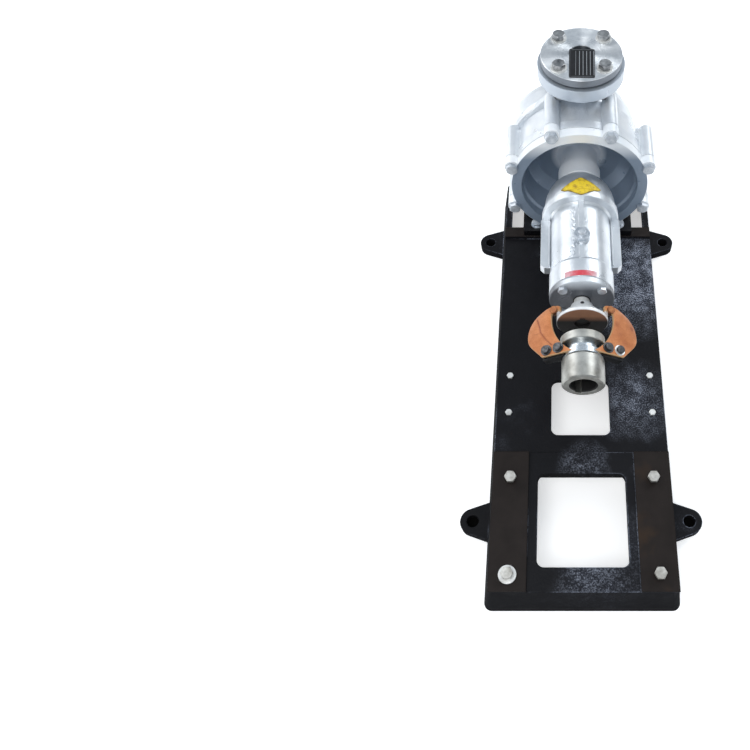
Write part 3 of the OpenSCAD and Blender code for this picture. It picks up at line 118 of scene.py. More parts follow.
def black_machinery_paint():
    """Colour from dark to light: paint, haze, specks of dust and painted glints, rubbed edges with painted
    edge highlights; thin brown on the pads.
    """
    made, tree, place = new_material("black_machinery_paint_on_cast_iron")
    # grain of the moulding sand 4 mm apart, brushed lumps 22 mm, clouds of haze 110 mm
    grain = add(tree, "TexNoise", [place], Scale=260.0, Detail=5.0, Roughness=0.6)[0]
    lumps = add(tree, "TexNoise", [place], Scale=45.0, Detail=3.0)[0]
    patches = add(tree, "TexNoise", [place], Scale=9.0, Detail=4.0, Roughness=0.6)[0]
    # the machined pads are the only faces of the baseplate at 80 mm
    pad = add(tree, "MapRange", [add(tree, "SeparateXYZ", [place])["Z"], 0.0792, 0.0796])[0]

    # dust, with painted glints of the right lamp among its specks, lies right of the housing, right of
    # the coupling window, and behind and before the motor window: each place has its middle on the deck,
    # its reach and its amount
    level = add(tree, "MapRange", [patches, 0.42, 0.80, 0.0, 0.13])[0]
    for middle, reach, amount in (((0.098, 0.14, 0.073), 0.13, 1.25), ((0.080, -0.09, 0.073), 0.085, 0.42),
                                  ((0.0, -0.205, 0.073), 0.05, 0.42), ((0.02, -0.385, 0.073), 0.09, 0.2)):
        away = add(tree, "VectorMath", [place, middle], operation="DISTANCE")["Value"]
        bell = add(tree, "MapRange", [away, 0.2 * reach, reach, amount, 0.0])[0]
        level = add(tree, "Math", [level, bell], operation="ADD")[0]
    uneven = add(tree, "MapRange", [patches, 0.3, 0.7, 0.4, 1.3])[0]
    level = add(tree, "Math", [level, uneven], operation="MULTIPLY")[0]
    patchy = add(tree, "MapRange", [level, 0.05, 0.85])[0]
    upward = add(tree, "SeparateXYZ", [add(tree, "NewGeometry")["True Normal"]])["Z"]
    resting = add(tree, "MapRange", [upward, 0.3, 0.8, 0.15, 1.0])[0]
    lying = add(tree, "Math", [patchy, resting], operation="MULTIPLY")[0]
    # specks of dust and bare grain, partly painted glints, 2 mm across, sparser in places 13 mm apart
    flecks = add(tree, "TexNoise", [place], Scale=480.0, Detail=3.0, Roughness=0.75)[0]
    places = add(tree, "TexNoise", [place], Scale=75.0, Detail=2.0)[0]
    sparser = add(tree, "MapRange", [places, 0.3, 0.7, -0.07, 0.05])[0]
    flecks = add(tree, "Math", [flecks, sparser], operation="ADD")[0]
    specks_and_glints = add(tree, "MapRange", [flecks, 0.47, 0.68])[0]
    dust = add(tree, "Math", [specks_and_glints, lying], operation="MULTIPLY")[0]
    haze = add(tree, "Math", [lying, add(tree, "MapRange", [patches, 0.4, 0.7, 0.2, 0.6])[0]],
               operation="MULTIPLY")[0]
    ground = add(tree, "Mix", {0: patches, 6: "#0e0e10", 7: "#1b1b1f"}, data_type="RGBA")[2]
    hazy = add(tree, "Mix", {0: haze, 6: ground, 7: "#343844"}, data_type="RGBA")[2]
    dusty = add(tree, "Mix", {0: dust, 6: hazy, 7: "#bcc3d4"}, data_type="RGBA")[2]

    # paint is rubbed to pale primer, and painted pale as edge highlights, where the rounded normal leaves
    # the flat one, at sharp edges
    edge = add(tree, "Bevel", samples=4, Radius=0.0026)[0]
    likeness = add(tree, "VectorMath", [edge, add(tree, "NewGeometry")["Normal"]],
                   operation="DOT_PRODUCT")["Value"]
    rubbed = add(tree, "MapRange", [likeness, 0.985, 0.88])[0]
    for noise, low, high in ((patches, 0.48, 0.66), (grain, 0.36, 0.54)):
        where = add(tree, "MapRange", [noise, low, high])[0]
        rubbed = add(tree, "Math", [rubbed, where], operation="MULTIPLY")[0]
    worn = add(tree, "Mix", {0: rubbed, 6: dusty, 7: "#9aa1b2"}, data_type="RGBA")[2]
    brown = add(tree, "Mix", {0: lumps, 6: "#1f1b19", 7: "#2a2422"}, data_type="RGBA")[2]
    rust = add(tree, "MapRange", [patches, 0.60, 0.72])[0]
    rusty = add(tree, "Mix", {0: rust, 6: brown, 7: "#34281f"}, data_type="RGBA")[2]
    colour = add(tree, "Mix", {0: pad, 6: worn, 7: rusty}, data_type="RGBA")[2]

    # the deck is half glossy, the sides below it are dull
    gloss = add(tree, "MapRange", [lumps, 0.3, 0.7, 0.30, 0.46])[0]
    dull = add(tree, "MapRange", [upward, 0.3, 0.8, 0.62, 0.0])[0]
    roughness = add(tree, "Math", [gloss, dull], operation="ADD", use_clamp=True)[0]
    rough = add(tree, "Math", [add(tree, "MapRange", [pad, 0.0, 1.0, 1.0, 0.25])[0], grain],
                operation="MULTIPLY")[0]
    relief = add(tree, "Math", [rough, lumps], operation="ADD")[0]
    bump = add(tree, "Bump", {"Height": relief, "Normal": edge}, Strength=0.55, Distance=0.0009)[0]
    surface(tree, "#17171a", {"Base Color": colour, "Roughness": roughness, "Normal": bump},
            Metallic=0.0, IOR=1.5, Specular_IOR_Level=0.12)
    return made


dress(black_machinery_paint(), "baseplate")


# Hex bolts, screws, nuts and washers: pressed from steel and zinc plated, some bright, some gone
# dull. The motor bolts stand out of their pads, so rolled threads show under their heads.
def zinc_plated_steel(name, colour, dark, thread_pitch=None, metal=0.6):
    """Clouds 14 mm apart take the plating from colour to dark, over fine handling marks."""
    made, tree, place = new_material(name)
    clouds = add(tree, "TexNoise", [place], Scale=70.0, Detail=5.0, Roughness=0.65)[0]
    marks = add(tree, "TexNoise", [place], Scale=420.0, Detail=3.0)[0]
    dulled = add(tree, "MapRange", [clouds, 0.35, 0.7])[0]
    plating = add(tree, "Mix", {0: dulled, 6: colour, 7: dark}, data_type="RGBA")[2]
    gloss = add(tree, "MapRange", [marks, 0.3, 0.7, 0.28, 0.5])[0]
    edge = add(tree, "Bevel", samples=3, Radius=0.0006)[0]
    bump = add(tree, "Bump", {"Height": marks, "Normal": edge}, Strength=0.25, Distance=0.0002)[0]
    if thread_pitch:
        # thread crests are bands along Z, one to a pitch, below the heads at 88.8 mm
        up = add(tree, "SeparateXYZ", [place])["Z"]
        turns = add(tree, "Math", [up, 2 * math.pi / thread_pitch], operation="MULTIPLY")[0]
        crest = add(tree, "Math", [turns], operation="SINE")[0]
        below = add(tree, "MapRange", [up, 0.0888, 0.0884])[0]
        thread = add(tree, "Math", [crest, below], operation="MULTIPLY")[0]
        bump = add(tree, "Bump", {"Height": thread, "Normal": bump}, Strength=0.9, Distance=0.0008)[0]
    surface(tree, colour, {"Base Color": plating, "Roughness": gloss, "Normal": bump}, Metallic=metal)
    return made


dress(zinc_plated_steel("zinc_plated_steel_threaded", "#dcdad4", "#9c9890", thread_pitch=0.0015),
      "motor_bolts")
dress(zinc_plated_steel("zinc_plated_steel_bright", "#f2f2f0", "#c9c8c4"),
      "motor_washer", "guard_screws", "flange_washers")
dress(zinc_plated_steel("zinc_plated_steel_dull", "#b9babb", "#5e6165", metal=0.95),
      "flange_bolts", "flange_nuts", "casing_drain_plug", "housing_drain_plug")
dress(zinc_plated_steel("zinc_plated_steel_pale", "#dfe3e8", "#a4adb7", metal=0.8),
      "foot_bolts", "foot_washers", "cover_bolts", "cap_bolts", "breather_plug")

# Pump casing, cover, bearing housing and its cap: grey iron castings sprayed with silver
# machinery paint, which leaves a faint orange peel over the sand grain. The feet of the casing
# were painted over black together with the baseplate.
shaft_axis = (0.0, 0.0, 0.212)


def axis_distance(tree, place):
    """Distance of a point from the shaft's axis: its way to a point on that axis, without Y."""
    axes = add(tree, "SeparateXYZ", [place])
    flat = add(tree, "CombineXYZ", {"X": axes["X"], "Z": axes["Z"]})[0]
    return add(tree, "VectorMath", [flat, shaft_axis], operation="DISTANCE")["Value"]


def painted_shade_between_heights(start, full):
    """Painted shade that sets in between two heights over the floor."""
    def amount(tree, place):
        return add(tree, "MapRange", [add(tree, "SeparateXYZ", [place])["Z"], start, full])[0]
    return amount


def painted_shade_in_recess(tree, place):
    """Painted shade from 38 to 50 mm round the axis, from the neck outwards. Without painted shade are
    the outside of the rim, past 114.4 mm, the top of its ring face, and the top of the neck, which the
    light reaches."""
    axes = add(tree, "SeparateXYZ", [place])
    radius = axis_distance(tree, place)
    off_neck = add(tree, "MapRange", [radius, 0.038, 0.050])[0]
    off_rim = add(tree, "MapRange", [radius, 0.1148, 0.1144])[0]
    inside_ring = add(tree, "MapRange", [radius, 0.0995, 0.0985])[0]
    under_top = add(tree, "MapRange", [axes["Z"], 0.305, 0.275])[0]
    off_ring = add(tree, "Math", [inside_ring, under_top], operation="MAXIMUM")[0]
    sideways = add(tree, "Math", [axes["X"]], operation="ABSOLUTE")[0]
    off_top = add(tree, "MapRange", [sideways, 0.014, 0.030])[0]
    for measure, start, full in ((axes["Z"], 0.235, 0.225), (radius, 0.066, 0.080)):
        beyond = add(tree, "MapRange", [measure, start, full])[0]
        off_top = add(tree, "Math", [off_top, beyond], operation="MAXIMUM")[0]
    recess_shade = off_neck
    for part in (off_rim, off_ring, off_top):
        recess_shade = add(tree, "Math", [recess_shade, part], operation="MULTIPLY")[0]
    return recess_shade


def silver_machinery_paint(name, colour, shade, metal, black_below=None, painted_shade=None, painted_shade_colour=None):
    """Metal is the share of leaf in the paint, which clouds 70 mm apart take from colour to shade.
    Painted shade gives the amount of a darker second colour at a point; below a height the paint is black."""
    made, tree, place = new_material(name)
    grain = add(tree, "TexNoise", [place], Scale=330.0, Detail=4.0, Roughness=0.55)[0]
    lumps = add(tree, "TexNoise", [place], Scale=38.0, Detail=3.0)[0]
    clouds = add(tree, "TexNoise", [place], Scale=14.0, Detail=5.0, Roughness=0.6)[0]
    shaded = add(tree, "MapRange", [clouds, 0.42, 0.72])[0]
    tone = add(tree, "Mix", {0: shaded, 6: colour, 7: shade}, data_type="RGBA")[2]
    # painted shade: a darker second colour mixed in where its mask is set
    if painted_shade:
        tone = add(tree, "Mix", {0: painted_shade(tree, place), 6: tone, 7: painted_shade_colour}, data_type="RGBA")[2]
    if black_below:
        # the brush left a wavy line, 3 mm up and down
        wave = add(tree, "MapRange", [clouds, 0.3, 0.7, -0.003, 0.003])[0]
        height = add(tree, "Math", [add(tree, "SeparateXYZ", [place])["Z"], wave], operation="ADD")[0]
        black = add(tree, "MapRange", [height, black_below + 0.0006, black_below - 0.0006])[0]
        tone = add(tree, "Mix", {0: black, 6: tone, 7: "#1a1a1d"}, data_type="RGBA")[2]
    gloss = add(tree, "MapRange", [lumps, 0.3, 0.7, 0.27, 0.4])[0]
    relief = add(tree, "Math", [grain, lumps], operation="ADD")[0]
    edge = add(tree, "Bevel", samples=3, Radius=0.0015)[0]
    bump = add(tree, "Bump", {"Height": relief, "Normal": edge}, Strength=0.4, Distance=0.0007)[0]
    surface(tree, colour, {"Base Color": tone, "Roughness": gloss, "Normal": bump}, Metallic=metal, IOR=1.5)
    return made


# the outlet flange, above 351 mm, is painted greyer than the rest of the casing, as painted shade
dress(silver_machinery_paint("silver_paint_on_casing", "#f0f3f6", "#d8dee5", 0.6, black_below=0.112,
                             painted_shade=painted_shade_between_heights(0.351, 0.353), painted_shade_colour="#bcc4cd"), "casing")
# the cover's recess is painted darker round the neck as painted shade
dress(silver_machinery_paint("silver_paint_in_recess", "#fbfdff", "#eaf1f8", 0.2,
                             painted_shade=painted_shade_in_recess, painted_shade_colour="#8b99aa"), "casing_cover")
silver_paint_on_housing = silver_machinery_paint("silver_paint_on_housing", "#e0e4e8", "#c2c8cf", 0.8)
dress(silver_paint_on_housing, "bearing_housing")
# the cap's face is painted darker below its upper edge, as painted shade
dress(silver_machinery_paint("silver_paint_on_cap", "#e4e9ee", "#c9cfd5", 0.35,
                             painted_shade=painted_shade_between_heights(0.258, 0.238), painted_shade_colour="#63666c"), "drive_end_cap")


# Companion flange, coupling halves, shaft and sleeve: turned on a lathe from steel and iron and
# left bare. The tool left fine rings, which draw the highlights out into bright sectors. The pump
# half's face carries a brown painted reflection of the leather over black painted shade, the flange's
# edge is painted darker as painted shade, and the motor half's bore is painted black as painted shade.
def turned_steel(name, colour, dark, pitch, centre=shaft_axis, axis="Y", roughness=(0.26, 0.42),
                 grain=0.0, depth=0.00012, shading_paint=None, metal=0.95):
    """Rings are cut about an axis through centre: bands of the distance from it, one to a pitch.
    Grain from 0 to 1 draws the highlights out across the rings. Painted shade and painted reflection, if
    given, change the feeds in place."""
    made, tree, place = new_material(name)
    back = tuple(-c for c in centre)
    local = add(tree, "Mapping", {"Vector": place, "Location": back}, vector_type="POINT")[0]
    # the phase of the wave is 20 times its scale times the distance, so there is one ring to a pitch
    wave = add(tree, "TexWave", [local], wave_type="RINGS", rings_direction=axis,
               Scale=2 * math.pi / (20 * pitch), Distortion=0.35, Detail=2.0)["Fac"]
    clouds = add(tree, "TexNoise", [place], Scale=40.0, Detail=4.0, Roughness=0.6)[0]
    dulled = add(tree, "MapRange", [clouds, 0.4, 0.75])[0]
    edge = add(tree, "Bevel", samples=3, Radius=0.0006)[0]
    feeds = {"Base Color": add(tree, "Mix", {0: dulled, 6: colour, 7: dark}, data_type="RGBA")[2],
             "Roughness": add(tree, "MapRange", [wave, 0.0, 1.0, *roughness])[0],
             "Normal": add(tree, "Bump", {"Height": wave, "Normal": edge}, Strength=0.5, Distance=depth)[0]}
    if grain:
        feeds["Tangent"] = add(tree, "Tangent", direction_type="RADIAL", axis=axis)[0]
    if shading_paint:
        shading_paint(tree, place, feeds)
    surface(tree, colour, feeds, Metallic=metal, Anisotropic=grain, Anisotropic_Rotation=0.25)
    return made


def painted_rim_shade(tree, place, feeds):
    """The edge of the flange, below its face at 388 mm, is painted darker as painted shade."""
    below = add(tree, "MapRange", [add(tree, "SeparateXYZ", [place])["Z"], 0.3870, 0.3864])[0]
    feeds["Base Color"] = add(tree, "Mix", {0: below, 6: feeds["Base Color"], 7: "#858a91"},
                              data_type="RGBA")[2]


def leather_reflection_and_shade(face=None, arms=None, bore=None, black=(1.1, 1.0), metal=0.95):
    """Painted reflection of the leather and painted shade: on a face between two places along the shaft,
    on arms between two distances sideways, and within a bore's radius; it turns from a brown painted
    reflection to black painted shade between two heights. The bare steel has a share of metal, which the
    painted colour covers."""
    def shading_paint(tree, place, feeds):
        right, along, up = add(tree, "SeparateXYZ", [place])
        covered = []
        if face:
            covered.append(add(tree, "MapRange", [along, *face])[0])
        if arms:
            sideways = add(tree, "Math", [right], operation="ABSOLUTE")[0]
            covered.append(add(tree, "MapRange", [sideways, *arms])[0])
        if bore:
            # only before 28.5 mm along the shaft, so that the back of a hub stays bare steel
            inside = [add(tree, "MapRange", [axis_distance(tree, place), bore + 0.0006, bore])[0],
                      add(tree, "MapRange", [along, -0.0285, -0.0295])[0]]
            covered.append(add(tree, "Math", inside, operation="MULTIPLY")[0])
        painted_share = covered[0]
        for part in covered[1:]:
            painted_share = add(tree, "Math", [painted_share, part], operation="MAXIMUM")[0]
        clouds = add(tree, "TexNoise", [place], Scale=90.0, Detail=4.0, Roughness=0.6)[0]
        brown = add(tree, "Mix", {0: clouds, 6: "#8f6049", 7: "#a5795b"}, data_type="RGBA")[2]
        low = add(tree, "MapRange", [up, *black])[0]
        dirt_and_painted_shading = add(tree, "Mix", {0: low, 6: brown, 7: "#0e0c0b"}, data_type="RGBA")[2]
        feeds["Base Color"] = add(tree, "Mix", {0: painted_share, 6: feeds["Base Color"], 7: dirt_and_painted_shading},
                                  data_type="RGBA")[2]
        feeds["Metallic"] = add(tree, "MapRange", [painted_share, 0.0, 1.0, metal, 0.1])[0]
        dull = add(tree, "MapRange", [painted_share, 0.0, 1.0, 0.0, 0.28])[0]
        feeds["Roughness"] = add(tree, "Math", [feeds["Roughness"], dull], operation="ADD")[0]
    return shading_paint


# the flange's rings are drawn 1.6 mm apart, four times the real feed, so that they show
dress(turned_steel("turned_steel_flange", "#f0f3f6", "#c2c8ce", 0.0016, (0.0, 0.350, 0.0), "Z",
                   (0.38, 0.48), grain=0.95, depth=0.0003, shading_paint=painted_rim_shade), "companion_flange")
# the pump half's face and arms, and the shaft's end, carry a brown painted reflection of the leather above
# 232 mm and black painted shade below 217 mm; the motor half's bore is painted black as painted shade
pump_end_shade_heights, arm_edge = (0.232, 0.217), (0.0375, 0.0385)
dress(turned_steel("turned_steel_pump_half", "#f6f7f8", "#dcdee0", 0.0014, roughness=(0.3, 0.45),
                   shading_paint=leather_reflection_and_shade((-0.0333, -0.0339), arm_edge, 0.0145, pump_end_shade_heights, 0.25)),
      "pump_half_coupling")
dress(turned_steel("turned_iron_motor_half", "#bebeb9", "#86847e", 0.0014, roughness=(0.3, 0.45),
                   shading_paint=leather_reflection_and_shade(bore=0.0204)), "motor_half_coupling")
dress(turned_steel("ground_shaft_steel", "#eeeeec", "#c8c8c6", 0.0009, roughness=(0.3, 0.45),
                   shading_paint=leather_reflection_and_shade((-0.027, -0.029), arm_edge, black=pump_end_shade_heights, metal=0.25)),
      "shaft", "coupling_key")
dress(turned_steel("ground_sleeve_steel", "#bdbdbb", "#8f8f8d", 0.0009),
      "shaft_sleeve", "impeller_key", "impeller_nut", "seal_collar", "seal_spring")


# Lugs, screws and washers of the coupling: forged iron and steel, blackened in hot oil, still
# oily and worn bright in spots.
def blackened_steel(name, colour, light, roughness, clean=None, clean_from=None):
    """Blackened, or with a clean colour on the parts further to the right than clean_from."""
    made, tree, place = new_material(name)
    wear = add(tree, "TexNoise", [place], Scale=150.0, Detail=4.0, Roughness=0.6)[0]
    bared = add(tree, "MapRange", [wear, 0.5, 0.75])[0]
    worn = add(tree, "Mix", {0: bared, 6: colour, 7: light}, data_type="RGBA")[2]
    if clean:
        right = add(tree, "SeparateXYZ", [place])["X"]
        wiped = add(tree, "MapRange", [right, clean_from, clean_from + 0.001])[0]
        worn = add(tree, "Mix", {0: wiped, 6: worn, 7: clean}, data_type="RGBA")[2]
    gloss = add(tree, "MapRange", [wear, 0.3, 0.7, *roughness])[0]
    edge = add(tree, "Bevel", samples=3, Radius=0.0008)[0]
    bump = add(tree, "Bump", {"Height": wear, "Normal": edge}, Strength=0.3, Distance=0.0004)[0]
    surface(tree, colour, {"Base Color": worn, "Roughness": gloss, "Normal": bump}, Metallic=0.6)
    return made


dress(blackened_steel("black_iron_lugs", "#1b1c1e", "#3a3b3f", (0.35, 0.55)), "strap_lugs")
dress(blackened_steel("blackened_screws", "#3c3d3f", "#77777a", (0.3, 0.45)), "strap_bolts",
      "housing_set_screws", "coupling_set_screw", "bearing_circlip")
dress(blackened_steel("zinc_plated_washers_oily", "#4a4b4e", "#8a8b8e", (0.3, 0.45), "#f0f0ee", 0.0442),
      "strap_washers")
dress(blackened_steel("coppered_rivet_screws", "#8c5634", "#b17a4e", (0.35, 0.5)), "strap_screws")


# Coupling straps: two flat blanks of thick vegetable tanned leather with pale raw edges. Each is
# bolted to a lug of the motor half and screwed to an arm of the pump half, where it curls down.
def keep(mesh_name, points, faces, material, smooth=True, **values):
    """A mesh object at the origin from rows of points and faces, with float attributes by name."""
    mesh = bpy.data.meshes.new(mesh_name)
    mesh.from_pydata(points.reshape(-1, 3).tolist(), [], faces)
    mesh.polygons.foreach_set("use_smooth", [smooth] * len(mesh.polygons))
    for label, numbers in values.items():
        attribute = mesh.attributes.new(label, "FLOAT", "POINT")
        attribute.data.foreach_set("value", numbers.ravel().astype(np.float32))
    mesh.materials.append(material)
    mesh.update()
    made = bpy.data.objects.new(mesh_name, mesh)
    bpy.context.scene.collection.objects.link(made)
    return made


def quads(rows, columns, start=0, closed=False):
    """Quads over a grid of points numbered row by row, the columns joined into a ring if closed."""
    row, column = np.meshgrid(np.arange(rows - 1), np.arange(columns - (not closed)), indexing="ij")
    after = (column + 1) % columns
    corners = [row * columns + column, row * columns + after,
               (row + 1) * columns + after, (row + 1) * columns + column]
    return (np.stack(corners, -1).reshape(-1, 4) + start).tolist()


def strap_section(thickness, corner, across):
    """Ring of a strap's section, from the inner edge over the top to the outer edge and back below:
    a fixed part and a part of the width for the way across, the height, and 1 at the cut edges."""
    turn = np.radians([22.5, 45.0, 67.5])
    top = np.linspace(0.0, 1.0, across)
    half = thickness / 2
    fixed = [corner * (1 - 2 * top), -corner * (1 - np.sin(turn)), [0.0, 0.0], -corner * (1 - np.cos(turn)),
             -corner * (1 - 2 * top), corner * (1 - np.sin(turn)), [0.0, 0.0], corner * (1 - np.cos(turn))]
    share = [top, [1.0] * 3, [1.0] * 2, [1.0] * 3, 1 - top, [0.0] * 3, [0.0] * 2, [0.0] * 3]
    high = [half + 0 * top, half - corner * (1 - np.cos(turn)), [half - corner, corner - half],
            corner * (1 - np.sin(turn)) - half, -half + 0 * top, -half + corner * (1 - np.cos(turn)),
            [corner - half, half - corner], half - corner * (1 - np.sin(turn))]
    edge = [0 * top, [0.6, 1, 1], [1, 1], [1, 1, 0.6], 0 * top, [0.6, 1, 1], [1, 1], [1, 1, 0.6]]
    return [np.concatenate([np.asarray(part, float) for part in parts])
            for parts in (fixed, share, high, edge)]


def strap_points(along, thickness, share, fixed, high):
    """Points of the right strap in mm. Along runs from the motor end, 0, to the pump end, 1. The inner
    edge is an arc of 75 mm radius that bends in to the pump end; the outer edge is a short straight, an
    arc of 38.5 mm radius and a short straight; the way across joins them. The middle swells between the
    bolts and the screw, and the end drops along a quarter of a circle."""
    arc_from, arc_to = 0.17, 0.86
    angle = np.radians(np.interp(along, [0, arc_to], [-57.0, 2.0]))
    bend = np.clip((along - arc_to) / 0.14, 0, 1)
    inner = np.stack([-62 + 75 * np.cos(angle), 20 + 75 * np.sin(angle)], -1)
    inner = inner + np.stack([-12.9 * bend ** 2, 8.4 * (1 - (1 - bend) ** 2)], -1)
    turn = np.radians(np.interp(along, [arc_from, arc_to], [-40.0, 88.0]))
    outer = np.stack([15 + 38.5 * np.cos(turn), 38.5 * np.sin(turn)], -1)
    start = np.clip(1 - along / arc_from, 0, 1)
    outer = outer + np.stack([-16.5 * start - 16.3 * bend, -18.3 * start + 0.5 * bend], -1)
    gap = outer - inner
    width = np.linalg.norm(gap, axis=-1, keepdims=True)
    way = fixed[None, :] + share[None, :] * width
    flat = inner[:, None, :] + gap[:, None, :] / width[:, None, :] * way[..., None]
    part = way / width
    swell = (np.clip((along - 0.2) / 0.25, 0, 1) * np.clip((0.9 - along) / 0.2, 0, 1))[:, None]
    swell = swell * swell * (3 - 2 * swell)
    wave = 0.35 * np.sin(flat[..., 0] / 7.0) * np.sin(flat[..., 1] / 9.0 + 1.0)
    rise = swell * (2.2 * np.sin(np.pi * part) - 5.0 * part ** 4 + wave)
    curl = np.clip((6.0 - flat[..., 0]) / 6.0, 0, 1) * (flat[..., 1] > 15)
    rise = rise - 6.5 * (1 - np.sqrt(1 - 0.96 * curl ** 2))
    return np.concatenate([flat, (-thickness / 2 + rise + high[None, :])[..., None]], -1)


def vegetable_tanned_leather():
    """Smooth grain side with fine pores, tanned unevenly; raw edges pale and fibrous; handling
    marks are dark and reddish. The pores are drawn 1 mm apart, three times the real ones."""
    made, tree, place = new_material("vegetable_tanned_leather")
    clouds = add(tree, "TexNoise", [place], Scale=38.0, Detail=5.0, Roughness=0.6)[0]
    fine = add(tree, "TexNoise", [place], Scale=420.0, Detail=4.0, Roughness=0.6)[0]
    pores = add(tree, "TexVoronoi", [place], Scale=1000.0, feature="F1")["Distance"]
    cut = add(tree, "Attribute", attribute_name="cut_edge")["Fac"]
    mark = add(tree, "Attribute", attribute_name="mark")["Fac"]
    uneven = add(tree, "MapRange", [clouds, 0.35, 0.68])[0]
    tanned = add(tree, "Mix", {0: uneven, 6: "#d98c56", 7: "#b86d3e"}, data_type="RGBA")[2]
    freckled = add(tree, "MapRange", [fine, 0.45, 0.75, 0.0, 0.45])[0]
    tanned = add(tree, "Mix", {0: freckled, 6: tanned, 7: "#a86136"}, data_type="RGBA")[2]
    broken = add(tree, "MapRange", [fine, 0.3, 0.6, 0.6, 1.0])[0]
    handled = add(tree, "Math", [mark, broken], operation="MULTIPLY")[0]
    marked = add(tree, "Mix", {0: handled, 6: tanned, 7: "#8a4129"}, data_type="RGBA")[2]
    raw = add(tree, "Mix", {0: fine, 6: "#e3bf94", 7: "#c4925f"}, data_type="RGBA")[2]
    colour = add(tree, "Mix", {0: cut, 6: marked, 7: raw}, data_type="RGBA")[2]
    gloss = add(tree, "MapRange", [clouds, 0.3, 0.7, 0.42, 0.58])[0]
    relief = add(tree, "Math", [pores, fine], operation="ADD")[0]
    bump = add(tree, "Bump", {"Height": relief}, Strength=0.35, Distance=0.0004)[0]
    surface(tree, "#c07a48", {"Base Color": colour, "Roughness": gloss, "Normal": bump},
            IOR=1.45, Metallic=0.0)
    return made


def spots(x, y, places, reach):
    """Strength of marks at a point: the sum of bells of a reach in mm about the places."""
    return sum(np.exp(-((x - px) ** 2 + (y - py) ** 2) / reach ** 2) for px, py in places)


# each strap lies in a plane through the point 35 mm sideways, 50 mm before the frame's origin and
# 228 mm up, which slopes down to the outside
strap_thickness, cut_rounding, strap_rows, strap_columns = 4.5, 0.9, 140, 44
strap_x, strap_y, strap_z, strap_tilt = 35, -50, 228, math.radians(26.5)
fixed, share, high, edge = strap_section(strap_thickness, cut_rounding, strap_columns)
ring = len(fixed)
rest_points = strap_points(np.linspace(0.0, 1.0, strap_rows), strap_thickness, share, fixed, high)
leather = vegetable_tanned_leather()
for name, side in (("strap_left", -1), ("strap_right", 1)):
    x, y, z = (rest_points[..., axis].copy() for axis in range(3))
    if side < 0:
        # a crease runs from the outer bend to the bolts, with a short nick across it
        line = np.interp(y, [-29.4, -16.3, -2.1, 7.1, 18.5, 26.6], [9.3, 20.9, 29.4, 31.2, 34.8, 38.3])
        inside = np.clip((y + 30) / 4, 0, 1) * np.clip((27 - y) / 5, 0, 1)
        mark = np.exp(-((x - line) / 0.9) ** 2) * inside + 0.5 * np.exp(-((x - line) / 2.6) ** 2) * inside
        mark = mark * 0.75 + 0.5 * np.exp(-((y + 3 - 0.2 * (x - 36)) / 0.7) ** 2 - ((x - 37) / 5) ** 4)
        z -= 0.55 * np.exp(-((x - line) / 1.1) ** 2) * inside * np.sign(high)[None, :].clip(0, 1)
    else:
        mark = 0.5 * spots(x, y, [(44, 11), (45, 8)], 3.2)
        mark = mark + 0.35 * spots(x, y, [(17, 9), (22, -8), (30, -19)], 4.5)
    points = np.stack([side * (strap_x + x * math.cos(strap_tilt) + z * math.sin(strap_tilt)), y + strap_y,
                       strap_z - x * math.sin(strap_tilt) + z * math.cos(strap_tilt)], -1) / 1000
    faces = quads(strap_rows, ring, closed=True)
    faces += [list(range(ring))[::-1], [(strap_rows - 1) * ring + k for k in range(ring)]]
    if side > 0:
        faces = [face[::-1] for face in faces]
    edges = np.broadcast_to(edge, x.shape).copy()
    edges[[0, -1]] = 1.0
    strap = keep("leather_" + name, points, faces, leather, cut_edge=edges, mark=np.clip(mark, 0, 1))
    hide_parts(name)
    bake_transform(strap)


# Plates and strips stuck on the pump: thin, bare and worn. A black etched plate lies on the
# companion flange, a yellow diamond on the bearing housing's dome, a red strip on its barrel.
def shell(name, outer, inner, material, slot=None, **values):
    """A closed thin piece between two grids of points in mm, outer and inner, joined at the rim."""
    rows, columns = outer.shape[:2]
    number = np.arange(rows * columns).reshape(rows, columns)
    rim = np.concatenate([number[0, :-1], number[:-1, -1], number[-1, :0:-1], number[:0:-1, 0]])
    after = np.roll(rim, -1)
    total = rows * columns
    faces = quads(rows, columns) + [face[::-1] for face in quads(rows, columns, total)]
    faces += np.stack([after, rim, rim + total, after + total], -1).tolist()
    points = np.stack([outer, inner]) / 1000
    both = {label: np.stack([numbers, numbers]) for label, numbers in values.items()}
    made = keep(name, points, faces, material, **both)
    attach(made, "pump_frame")


def square(rows, columns):
    """Grid of points from -1 to 1 each way, its corners drawn in to round them."""
    across, down = np.meshgrid(np.linspace(-1, 1, columns), np.linspace(-1, 1, rows))
    pull = 1 - 0.03 * np.abs(across * down) ** 14
    return across * pull, down * pull


def etched_plate_finish():
    """Black anodised sheet with bare bright rules etched into it."""
    made, tree, place = new_material("black_anodised_plate")
    dust = add(tree, "TexNoise", [place], Scale=240.0, Detail=4.0, Roughness=0.65)[0]
    rule = add(tree, "Attribute", attribute_name="rule")["Fac"]
    dusty = add(tree, "MapRange", [dust, 0.45, 0.8])[0]
    black = add(tree, "Mix", {0: dusty, 6: "#0d0e11", 7: "#24262d"}, data_type="RGBA")[2]
    ruled = add(tree, "Mix", {0: rule, 6: black, 7: "#b9bdc2"}, data_type="RGBA")[2]
    gloss = add(tree, "MapRange", [dust, 0.3, 0.7, 0.35, 0.55])[0]
    surface(tree, "#141416", {"Base Color": ruled, "Roughness": gloss}, IOR=1.5, Metallic=0.3)
    return made


